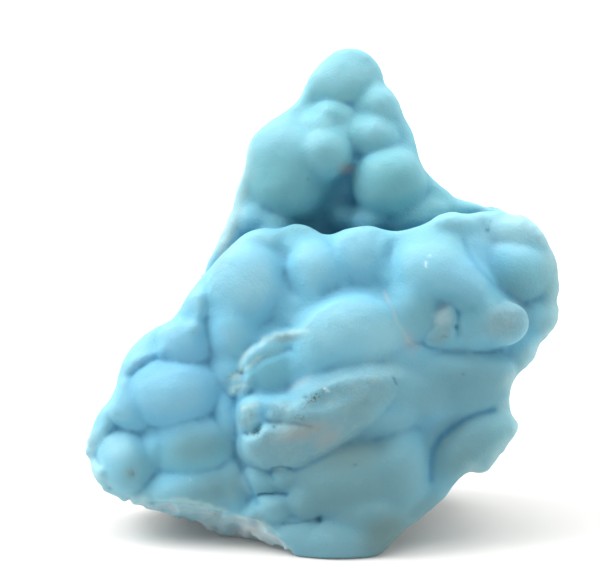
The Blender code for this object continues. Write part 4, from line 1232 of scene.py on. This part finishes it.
def fold_lift(across, up):
    """The crisp steps and jagged gaps between the worn plates, too fine for the outer shape."""
    lift = np.zeros(across.shape)
    ragged = uneven_face(across, up, "fold_edges")
    for outline, height, softness in FOLDS:
        depth = depth_inside(np.array(outline), across, up) + ragged
        lift += height * np.clip(0.5 + depth / softness, 0.0, 1.0)
    for line, half_width, depth in DEEP_CREASES:
        lift -= depth * closeness(line_distance(line, across, up), half_width)
    for line, half_width, fill in FILLED_CREASES:
        lift += fill * closeness(line_distance(line, across, up), half_width)
    return lift


def seen_place(points):
    """Where each point is seen on the face."""
    scale = 1.0 - points[:, 2] / VIEW_DISTANCE
    across = VIEW_ACROSS + (points[:, 0] - VIEW_ACROSS) / scale
    up = VIEW_UP + (points[:, 1] - VIEW_UP) / scale
    return across, up


def break_marks(points, skin_depth, across, up):
    """The broken sides, back and underside: growth bands, clay of the host rock and glassy places."""
    on_pinnacle = up > PINNACLE_FOOT + PINNACLE_FOOT_SLOPE * across
    edge_out = np.where(on_pinnacle, PINNACLE_EDGE_OUT, LOWER_EDGE_OUT)
    behind_edge = soft_step(edge_out - points[:, 2] + uneven(points, "side_edge"), *SIDE_FADE)
    sides = soft_step(skin_depth + uneven(points, "skin_thickness"), *SKIN_THICKNESS) * behind_edge
    below_edge = soft_step(side_of_line(SKIN_EDGE, across, up), *SKIN_EDGE_FADE)
    crust = below_edge * soft_step(-across, *CRUST_START)
    depth = skin_depth + uneven(points, "bands_broad") + uneven(points, "bands_fine")
    first_band = closeness(depth - FIRST_BAND, FIRST_BAND_WIDTH)
    waves = soft_step(np.sin(depth * math.tau / BAND_SPACING), *BAND_FADE)
    glassy = GLASSY_LEFT * soft_step(-across, *GLASSY_START) + GLASSY_PATCHES * patchy(points, "glassy")
    return {
        "broken": np.maximum(sides, crust),
        "band": np.maximum(first_band, DEEP_BANDS * waves * patchy(points, "bands")),
        "matrix": soft_step(depth, *MATRIX_DEPTH) * patchy(points, "matrix"),
        "glass": np.clip(glassy, 0.0, GLASSY_MOST) * crust,
    }


def crack_and_pit_shade_mark(across, up):
    """Painted shade in the cracks and pits, stronger where they run deeper."""
    crack_and_pit_shade = np.zeros(across.shape)
    for line, half_width, depth in CRACKS:
        near = closeness(line_distance(line, across, up), CRACK_AND_PIT_SHADE_WIDTH * half_width)
        crack_and_pit_shade = np.maximum(crack_and_pit_shade, min(depth, 1.0) * near)
    for middle_across, middle_up, half_width, depth in PITS:
        near = closeness(np.hypot(across - middle_across, up - middle_up), CRACK_AND_PIT_SHADE_WIDTH * half_width)
        crack_and_pit_shade = np.maximum(crack_and_pit_shade, min(depth, 1.0) * near)
    return crack_and_pit_shade


def deep_crease_shade_mark(across, up):
    """Bluer painted shade along the creases that run deeper."""
    blue = np.zeros(across.shape)
    for line, half_width, depth in DEEP_CREASES:
        near = closeness(line_distance(line, across, up), half_width)
        blue = np.maximum(blue, DEEP_CREASE_SHADE * depth * near)
    return blue


def surface_marks(points, skin_depth):
    """Where the finish differs or shade and highlights are painted, as a value from 0 to 1 at each point."""
    across, up = seen_place(points)
    front = 1.0 - soft_step(-points[:, 2], *BACK_FADE) * (up < BACK_TOP)
    marks = break_marks(points, skin_depth, across, up)
    marks["sea"] = patches(SEA_PATCHES, across, up)
    for name, spots in FRONT_PATCHES.items():
        marks[name] = patches(spots, across, up) * front
    # Painted shade along the deep creases and in cracks and pits; painted highlights at the rims, the outline
    # and the glints.
    marks["crease"] = deep_crease_shade_mark(across, up) * front
    marks["crack_and_pit_shade"] = crack_and_pit_shade_mark(across, up) * front
    seam = line_distance(SEAM, across, up) + uneven(points, "seam")
    marks["seam"] = closeness(seam, SEAM_WIDTH) * front
    marks["rim"] = near_lines(RIMS_AND_EDGE_HIGHLIGHTS, across, up, RIM_HIGHLIGHT_WIDTH, uneven(points, "rims_and_highlights")) * patchy(points, "rims_and_highlights")
    marks["edge"] = near_lines(THIN_EDGE_LIGHTS, across, up, THIN_EDGE_LIGHT_WIDTH, uneven(points, "thin_edge_lights"))
    marks["glint"] = near_lines(GLINTS, across, up, GLINT_WIDTH) * patchy(points, "glints") * front
    return marks


def fine_relief(points, normals, marks, strength):
    """Small unevenness of each kind of surface, pushed along the normals."""
    turn = math.radians(TONGUE_FLOW)
    flow = np.stack((
        (points[:, 0] * math.cos(turn) + points[:, 1] * math.sin(turn)) / FLOW_STRETCH,
        points[:, 1] * math.cos(turn) - points[:, 0] * math.sin(turn),
        points[:, 2],
    ), axis=1)
    skin = uneven(points, "skin_broad") + uneven(points, "skin_fine")
    worn = uneven(flow, "worn_flow") + uneven(points, "worn_fine")
    ridged = 1.0 - np.abs(uneven(points, "break_ridges"))
    broken = BREAK_RIDGES * ridged + uneven(points, "break_fine")
    relief = skin + (worn - skin) * marks["worn"]
    relief = relief + (broken - relief) * marks["broken"]
    clear_of_floor = soft_step(height_of(points[:, 1], points[:, 2]), *FLOOR_CLEARANCE)
    return points + normals * (relief * clear_of_floor * strength)[:, None]


def add_attribute(mesh, name, values):
    attribute = mesh.attributes.new(name, "FLOAT", "POINT")
    attribute.data.foreach_set("value", values.astype(np.float32))


def frayed_edge(across, up):
    """The small bites out of the broken rim at the lower left and the right."""
    rim = np.abs(depth_inside(rounded(seen_outline(LOWER_OUTLINE, LOWER_EDGE_OUT)), across, up))
    lower_left = soft_step(-across, *FRAYED_LEFT_FROM) * soft_step(-up, *FRAYED_BELOW)
    strength = np.maximum(FRAYED_LEFT * lower_left, FRAYED_RIGHT * soft_step(across, *FRAYED_RIGHT_FROM))
    bites = uneven_face(across, up, "bites_broad") + uneven_face(across, up, "bites_fine")
    return strength * soft_step(-rim, *FRAYED_REACH) * bites


def filled_crease(across, up, out):
    """How far the crease between the knobs is filled."""
    fill = KNOB_CREASE_FILL * closeness(line_distance(KNOB_CREASE, across, up), KNOB_CREASE_WIDTH)
    return fill[:, :, None] * soft_step(out, *KNOB_CREASE_OUT)


def standing_field(axes):
    """The field of the whole specimen on its flat foot, and how far below the grown skin it is."""
    across, up = np.meshgrid(axes[0], axes[1], indexing="ij")
    field, skin_depth = specimen_field(axes, face_lift(across, up) + fold_lift(across, up))
    field = field + frayed_edge(across, up)[:, :, None] + filled_crease(across, up, axes[2])
    height = height_of(axes[1][None, :, None], axes[2][None, None, :])
    return without_pinches(settled(np.minimum(field, height))), skin_depth


def edges_of(mesh):
    ends = np.empty(2 * len(mesh.edges), dtype=np.int64)
    mesh.edges.foreach_get("vertices", ends)
    return ends.reshape(-1, 2)


def paint_hollow_shade_and_knob_highlight(marks, enclosed):
    """Painted shade in the deep hollows, and a painted highlight on the knobs that stand out."""
    marks["hollow"] = np.maximum(soft_step(enclosed, *HOLLOW_SHADE_ENCLOSURE), marks["hollow"])
    marks["knob"] = soft_step(-enclosed, *KNOB_HIGHLIGHT_ENCLOSURE)


def paint_crease_shade_and_crown_highlight(marks, points, normals, edges, shape):
    """Painted shade in the valleys between lobes and at the very foot of each crease, and a painted highlight
    on their crowns.
    """
    valley = valley_depth(points, normals, edges, shape.valley_passes)
    marks["valley"] = np.clip(valley / FULL_VALLEY, 0.0, 1.0)
    marks["crown"] = np.clip(-valley / FULL_VALLEY, 0.0, 1.0)
    crease = valley_depth(points, normals, edges, shape.crease_passes)
    marks["crease"] = np.maximum(soft_step(crease, *CREASE_DEPTH), marks["crease"])


def build_specimen(shape):
    """The crust as one closed mesh, with its marks as attributes."""
    axes = block_axes(shape.grain)
    field, skin_block = standing_field(axes)
    points, faces = surface_of(field, axes)
    points = drawn_to_surface(points, field, axes)
    normals = corner_normals(points, faces)
    marks = surface_marks(points, sampled(skin_block, points, axes))
    paint_hollow_shade_and_knob_highlight(marks, sampled(enclosure(field, axes), points, axes))
    mesh = bpy.data.meshes.new("aragonite_crust")
    mesh.from_pydata(points.tolist(), [], faces.tolist())
    paint_crease_shade_and_crown_highlight(marks, points, normals, edges_of(mesh), shape)
    points = fine_relief(points, normals, marks, shape.relief)
    mesh.vertices.foreach_set("co", standing(points).astype(np.float32).ravel())
    for name, values in marks.items():
        add_attribute(mesh, name, values)
    mesh.validate()
    mesh.update()
    mesh.shade_smooth()
    piece = bpy.data.objects.new("aragonite_crust", mesh)
    bpy.context.scene.collection.objects.link(piece)
    away = np.maximum(marks["broken"], soft_step(-points[:, 2], *OUT_OF_VIEW))
    thin_out(piece, away, shape.triangles / (2.0 * len(faces)))
    return piece


def thin_out(piece, weights, ratio):
    """Fewer triangles on the broken back, so the lobed face keeps all of its own."""
    group = piece.vertex_groups.new(name="away_from_view")
    for level in range(1, THINNING_LEVELS + 1):
        chosen = np.flatnonzero(np.rint(weights * THINNING_LEVELS) == level)
        group.add(chosen.tolist(), level / THINNING_LEVELS, "REPLACE")
    thin = piece.modifiers.new("thin", "DECIMATE")
    thin.ratio = min(1.0, ratio)
    thin.vertex_group = group.name
    thin.vertex_group_factor = THINNING_BIAS


def linear(hex_code):
    """An sRGB hex colour as the linear values that shaders take."""
    channels = [int(hex_code[i:i + 2], 16) / 255.0 for i in (1, 3, 5)]
    return (*(c / 12.92 if c <= 0.04045 else ((c + 0.055) / 1.055) ** 2.4 for c in channels), 1.0)


def add_node(tree, kind, settings, inputs):
    """Add a node, set its properties, and set or link its inputs."""
    node = tree.nodes.new(kind)
    for name, value in settings.items():
        setattr(node, name, value)
    for name, value in inputs.items():
        if isinstance(value, bpy.types.NodeSocket):
            tree.links.new(value, node.inputs[name])
        else:
            node.inputs[name].default_value = value
    return node


def per_metre(size_mm):
    """The texture scale that gives features of this size."""
    return 1.0 / (size_mm * MM)


def pattern_shares(tree, patterns):
    """Noise patterns over the object, each of its own size."""
    place = add_node(tree, "ShaderNodeTexCoord", {}, {}).outputs["Object"]
    shares = {}
    for name, (size_mm, detail, roughness) in patterns.items():
        sockets = {"Vector": place, "Scale": per_metre(size_mm), "Detail": detail, "Roughness": roughness}
        shares[name] = add_node(tree, "ShaderNodeTexNoise", {}, sockets).outputs["Fac"]
    return shares


def broken_up(tree, shares):
    """The marks that a noise pattern breaks up into grains, specks and stains."""
    broken = {}
    for name, factors in BROKEN_UP.items():
        product = add_node(tree, "ShaderNodeMath", {"operation": "MULTIPLY", "use_clamp": True}, {})
        for socket, (share, low, high, least) in zip(product.inputs, factors):
            spread = add_node(
                tree, "ShaderNodeMapRange", {},
                {"Value": shares[share], "From Min": low, "From Max": high, "To Min": least},
            )
            tree.links.new(spread.outputs["Result"], socket)
        broken[name] = product.outputs["Value"]
    return broken


def layered(tree, colour, layers, shares, paints):
    """Colours laid over the first one in turn, each where its mark or pattern shows."""
    for name, low, high, cover, paint in layers:
        spread = add_node(
            tree, "ShaderNodeMapRange", {},
            {"Value": shares[name], "From Min": low, "From Max": high, "To Max": cover},
        )
        mix = add_node(
            tree, "ShaderNodeMix", {"data_type": "RGBA"},
            {MIX_SHARE: spread.outputs["Result"], MIX_FIRST: colour, MIX_SECOND: paints[paint]},
        )
        colour = mix.outputs[MIX_RESULT]
    return colour


def new_material(name):
    material = bpy.data.materials.new(name)
    material.use_nodes = True
    material.node_tree.nodes.clear()
    return material, material.node_tree


def botryoidal_aragonite(colours, piece):
    """Aragonite grown in rounded lobes, part of its skin worn to chalky crust and its back broken.

    The waxy skin lets light a millimetre or two in, which softens every crease and makes it bluer;
    worn crust is paler and duller, and fresh breaks show white and pale blue growth bands.
    """
    # Shade is painted into the hollows, valleys, creases, cracks and pits, and highlights onto the knobs,
    # crowns, rims, outline and glints.
    material, tree = new_material("aragonite_botryoidal_grown")
    shares = pattern_shares(tree, SKIN_PATTERNS)
    for mark in piece.data.attributes:
        if mark.data_type == "FLOAT":
            node = add_node(tree, "ShaderNodeAttribute", {"attribute_name": mark.name}, {})
            shares[mark.name] = node.outputs["Fac"]
    shares.update(broken_up(tree, shares))
    paints = {name: linear(getattr(colours, name)) for name in type(colours).__annotations__}
    paints["crust"] = layered(tree, paints["crust_grey"], CRUST_LAYERS, shares, paints)
    paints["fresh"] = layered(tree, paints["break_white"], FRESH_LAYERS, shares, paints)
    dullness = add_node(
        tree, "ShaderNodeMapRange", {},
        {"Value": shares["mottle"], "From Min": 0.30, "From Max": 0.70, "To Min": 0.52, "To Max": 0.68},
    )
    height = add_node(tree, "ShaderNodeMath", {"operation": "ADD"}, {0: shares["mottle"], 1: shares["grain"]})
    bump = add_node(
        tree, "ShaderNodeBump", {},
        {"Strength": 0.50, "Distance": 0.25 * MM, "Height": height.outputs["Value"]},
    )
    shader = add_node(tree, "ShaderNodeBsdfPrincipled", {}, {
        "Base Color": layered(tree, paints["skin"], SURFACE_LAYERS, shares, paints),
        "Roughness": dullness.outputs["Result"],
        "IOR": 1.55,
        "Specular IOR Level": 0.28,
        "Subsurface Weight": 0.70,
        "Subsurface Radius": (0.35, 1.0, 1.35),
        "Subsurface Scale": 0.55 * MM,
        "Normal": bump.outputs["Normal"],
    })
    add_node(tree, "ShaderNodeOutputMaterial", {}, {"Surface": shader.outputs["BSDF"]})
    return material


def studio_paper(colours):
    """Matt background paper, pressed smooth: an even pale ground with no texture of its own.

    A little light comes through it from below, which keeps the shadows on it pale.
    """
    material, tree = new_material("paper_pressed_matt")
    shares = pattern_shares(tree, PAPER_PATTERNS)
    paints = {"floor_shade": linear(colours.floor_shade)}
    shader = add_node(tree, "ShaderNodeBsdfPrincipled", {}, {
        "Base Color": layered(tree, linear(colours.floor), PAPER_LAYERS, shares, paints),
        "Roughness": 0.8,
        "Specular IOR Level": 0.2,
        "Emission Color": WHITE,
        "Emission Strength": 0.085,
    })
    add_node(tree, "ShaderNodeOutputMaterial", {}, {"Surface": shader.outputs["BSDF"]})
    return material


def face_place(across, up, out):
    """A place on the leaning face, in metres in the object's own axes."""
    return Vector(standing(np.array([[across, up, out]]))[0])


def add_camera(stage):
    camera = bpy.data.objects.new("camera", bpy.data.cameras.new("camera"))
    camera.data.sensor_width = 36.0
    camera.data.lens = camera.data.sensor_width * VIEW_DISTANCE / stage.frame_width
    camera.location = face_place(VIEW_ACROSS, VIEW_UP, VIEW_DISTANCE)
    camera.rotation_euler = (math.radians(90.0) - FACE_LEAN, 0.0, 0.0)
    bpy.context.scene.collection.objects.link(camera)
    bpy.context.scene.camera = camera


def add_soft_light(name, strength, spread, direction):
    """A broad light, even all over the floor, that comes down from one side."""
    light = bpy.data.lights.new(name, "SUN")
    light.energy = strength
    light.angle = spread
    lamp = bpy.data.objects.new(name, light)
    lamp.rotation_euler = Vector(direction).to_track_quat("Z", "Y").to_euler()
    bpy.context.scene.collection.objects.link(lamp)


def add_floor(stage, colours):
    mesh = bpy.data.meshes.new("floor")
    bm = bmesh.new()
    bmesh.ops.create_grid(bm, x_segments=8, y_segments=8, size=0.5 * stage.floor_width)
    bm.to_mesh(mesh)
    bm.free()
    mesh.materials.append(studio_paper(colours))
    floor = bpy.data.objects.new("floor", mesh)
    bpy.context.scene.collection.objects.link(floor)


def add_surroundings(stage):
    """A white studio, brightest at its ceiling."""
    world = bpy.data.worlds.new("studio")
    world.use_nodes = True
    tree = world.node_tree
    direction = add_node(tree, "ShaderNodeTexCoord", {}, {}).outputs["Generated"]
    ceiling = Vector(stage.overhead_from).normalized()
    sockets = {0: direction, 1: ceiling}
    height = add_node(tree, "ShaderNodeVectorMath", {"operation": "DOT_PRODUCT"}, sockets).outputs["Value"]
    steps = (
        ("MAXIMUM", {1: 0.0}),
        ("POWER", {1: CEILING_FOCUS}),
        ("MULTIPLY_ADD", {1: stage.overhead, 2: stage.surroundings}),
    )
    for operation, values in steps:
        node = add_node(tree, "ShaderNodeMath", {"operation": operation}, {0: height, **values})
        height = node.outputs["Value"]
    background = tree.nodes["Background"]
    background.inputs["Color"].default_value = WHITE
    tree.links.new(height, background.inputs["Strength"])
    bpy.context.scene.world = world
    bpy.context.scene.view_settings.view_transform = "Standard"


class AragoniteShape(bpy.types.PropertyGroup):
    grain: bpy.props.FloatProperty(
        name="Grain", description="Spacing of the grid that the crust is shaped on, in millimetres",
        default=0.42, min=0.2, max=2.0)
    triangles: bpy.props.IntProperty(
        name="Triangles", description="Triangles that are kept in the whole crust",
        default=196000, min=2000)
    relief: bpy.props.FloatProperty(
        name="Fine Relief", description="Height of the small unevenness, in millimetres per unit",
        default=1.0, min=0.0, max=3.0)
    # The two reaches below set how wide the painted shade of the valleys and creases is, and the painted
    # highlight on the crowns.
    valley_passes: bpy.props.IntProperty(
        name="Valley Reach", description="How widely the creases between lobes are looked for",
        default=30, min=1, max=200)
    crease_passes: bpy.props.IntProperty(
        name="Crease Reach", description="How narrow the darkest line of a crease is",
        default=7, min=1, max=50)


def hex_colour(name, description, default):
    """A setting that holds an sRGB colour in hex."""
    return bpy.props.StringProperty(name=name, description=description, default=default)


class AragoniteColours(bpy.types.PropertyGroup):
    skin: hex_colour("Skin", "Sky-blue waxy skin", "#68ABC2")
    sea_skin: hex_colour("Sea Skin", "Greener skin of the pinnacle", "#6DABB5")
    deep_skin: hex_colour("Deep Skin", "Stronger blue skin", "#62A6C6")
    # Partly painted shade: the balls of the pinnacle and the basins are painted darker teal.
    teal_skin_and_shade: hex_colour("Teal Skin", "Denser teal skin", "#5F9BA4")
    # Partly painted shade: the lower faces that turn to the front are painted duller and darker.
    grey_skin_and_shade: hex_colour("Grey Skin", "Duller teal skin", "#60868C")
    # Partly painted highlight: the knobs and crowns are painted paler, and random pale patches use it too.
    pale_skin_and_highlight: hex_colour("Pale Skin", "Thin milky areas", "#8CBCC8")
    # Partly painted highlight on the lobes that catch the most light.
    milky_skin_and_highlight: hex_colour("Milky Skin", "Chalkier pale skin", "#9DC6CC")
    brown_skin: hex_colour("Brown Skin", "Skin stained by clay", "#5C6450")
    clay_skin: hex_colour("Clay Skin", "Pinkish clay in worn places", "#A89B92")
    # Painted shade at the very foot of each crease.
    crease: hex_colour("Crease", "Skin at the very foot of a crease", "#2F7398")
    # Painted shade deep in the valleys between the lobes.
    valley: hex_colour("Valley", "Skin deep in the creases", "#4187AE")
    crust_grey: hex_colour("Crust", "Worn greyish crust", "#6E99A5")
    crust_cream: hex_colour("Cream", "Worn cream crust", "#8AA8A8")
    break_white: hex_colour("Break", "White broken crystal", "#BECBCE")
    break_blue: hex_colour("Band", "Pale blue growth band", "#76AABB")
    break_glass: hex_colour("Glassy Band", "Clear blue of the break", "#76A6B4")
    # Painted light: the paler colour along the outline.
    thin_edge_light: hex_colour("Thin Edge", "Thin skin at the outline", "#A9C6C6")
    # Painted glints: small highlights painted onto the skin.
    glint: hex_colour("Glint", "Bright bare crystal", "#E2F2F2")
    break_stain: hex_colour("Break Stain", "Clay in the break", "#A39C86")
    rust: hex_colour("Rust", "Iron specks", "#5E5632")
    seam: hex_colour("Seam", "Healed crack", "#B4AF9F")
    # Partly painted highlight along the edges of the broken rims.
    rim: hex_colour("Rim", "Chalky rim of a broken plate", "#B2CFCA")
    # Painted shade: the darker blue painted into the deep hollows.
    hollow: hex_colour("Hollow", "Denser skin in deep hollows", "#3B7C96")
    # Painted shade inside the cracks and pits.
    crack: hex_colour("Crack", "Dark depth of cracks and pits", "#2C5A68")
    floor: hex_colour("Floor", "Pale ground", "#CCCBC9")
    floor_shade: hex_colour("Floor Shade", "Ground variation", "#C9C8C5")


class StudioStage(bpy.types.PropertyGroup):
    frame_width: bpy.props.FloatProperty(
        name="Frame Width", description="Width of the view at the face, in millimetres",
        default=120.0, min=10.0)
    floor_width: bpy.props.FloatProperty(
        name="Floor Width", description="Side of the square floor", default=12.0, unit="LENGTH")
    key_strength: bpy.props.FloatProperty(
        name="Key Light", description="Strength of the soft light from the left", default=2.9, min=0.0)
    key_spread: bpy.props.FloatProperty(
        name="Key Spread", description="Angle that the soft light fills", default=math.radians(38.0),
        subtype="ANGLE")
    key_from: bpy.props.FloatVectorProperty(
        name="Key From", description="Direction that the soft light comes from", default=(-0.72, 0.06, 0.68),
        subtype="DIRECTION")
    fill_strength: bpy.props.FloatProperty(
        name="Fill Light", description="Strength of the soft light from the right", default=1.3, min=0.0)
    fill_spread: bpy.props.FloatProperty(
        name="Fill Spread", description="Angle that the fill light takes up", default=math.radians(90.0),
        subtype="ANGLE")
    fill_from: bpy.props.FloatVectorProperty(
        name="Fill From", description="Direction that the fill light comes from", default=(0.80, 0.05, 0.55),
        subtype="DIRECTION")
    overhead: bpy.props.FloatProperty(
        name="Overhead", description="Brightness of the white ceiling at its brightest", default=3.6, min=0.0)
    overhead_from: bpy.props.FloatVectorProperty(
        name="Overhead From", description="Direction of the brightest part of the ceiling",
        default=(-0.08, 0.22, 0.97), subtype="DIRECTION")
    surroundings: bpy.props.FloatProperty(
        name="Surroundings", description="Brightness of the studio near the floor", default=0.20, min=0.0)


class ARAGONITE_OT_add_crust(bpy.types.Operator):
    """Add the lobed crust of blue aragonite"""

    bl_idname = "aragonite.add_crust"
    bl_label = "Aragonite Crust"

    def execute(self, context):
        piece = build_specimen(context.scene.aragonite_shape)
        piece.data.materials.append(botryoidal_aragonite(context.scene.aragonite_colours, piece))
        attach(piece, "root")
        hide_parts(NODE)
        return {"FINISHED"}


class ARAGONITE_OT_add_stage(bpy.types.Operator):
    """Add the pale floor, the soft light and the camera"""

    bl_idname = "aragonite.add_stage"
    bl_label = "Studio Stage"

    def execute(self, context):
        stage = context.scene.aragonite_stage
        add_camera(stage)
        add_floor(stage, context.scene.aragonite_colours)
        add_surroundings(stage)
        add_soft_light("key", stage.key_strength, stage.key_spread, stage.key_from)
        add_soft_light("fill", stage.fill_strength, stage.fill_spread, stage.fill_from)
        return {"FINISHED"}


class ARAGONITE_PT_parts(bpy.types.Panel):
    """Everything that this add-on makes"""

    bl_label = "Blue Aragonite"
    bl_idname = "ARAGONITE_PT_parts"
    bl_space_type = "VIEW_3D"
    bl_region_type = "UI"
    bl_category = "Aragonite"

    def draw(self, context):
        for operator in OPERATORS:
            self.layout.operator(operator.bl_idname)
        for name in ("aragonite_shape", "aragonite_colours", "aragonite_stage"):
            group = getattr(context.scene, name)
            column = self.layout.column(heading=name)
            for setting in type(group).__annotations__:
                column.prop(group, setting)


OPERATORS = (ARAGONITE_OT_add_crust, ARAGONITE_OT_add_stage)
SETTINGS = {
    "aragonite_shape": AragoniteShape,
    "aragonite_colours": AragoniteColours,
    "aragonite_stage": StudioStage,
}


def register():
    for cls in (*SETTINGS.values(), *OPERATORS, ARAGONITE_PT_parts):
        bpy.utils.register_class(cls)
    for name, cls in SETTINGS.items():
        setattr(bpy.types.Scene, name, bpy.props.PointerProperty(type=cls))


def unregister():
    for name in SETTINGS:
        delattr(bpy.types.Scene, name)
    for cls in reversed((*SETTINGS.values(), *OPERATORS, ARAGONITE_PT_parts)):
        bpy.utils.unregister_class(cls)


def main():
    register()
    bpy.ops.aragonite.add_crust()
    bpy.ops.aragonite.add_stage()


if __name__ == "__main__":
    main()
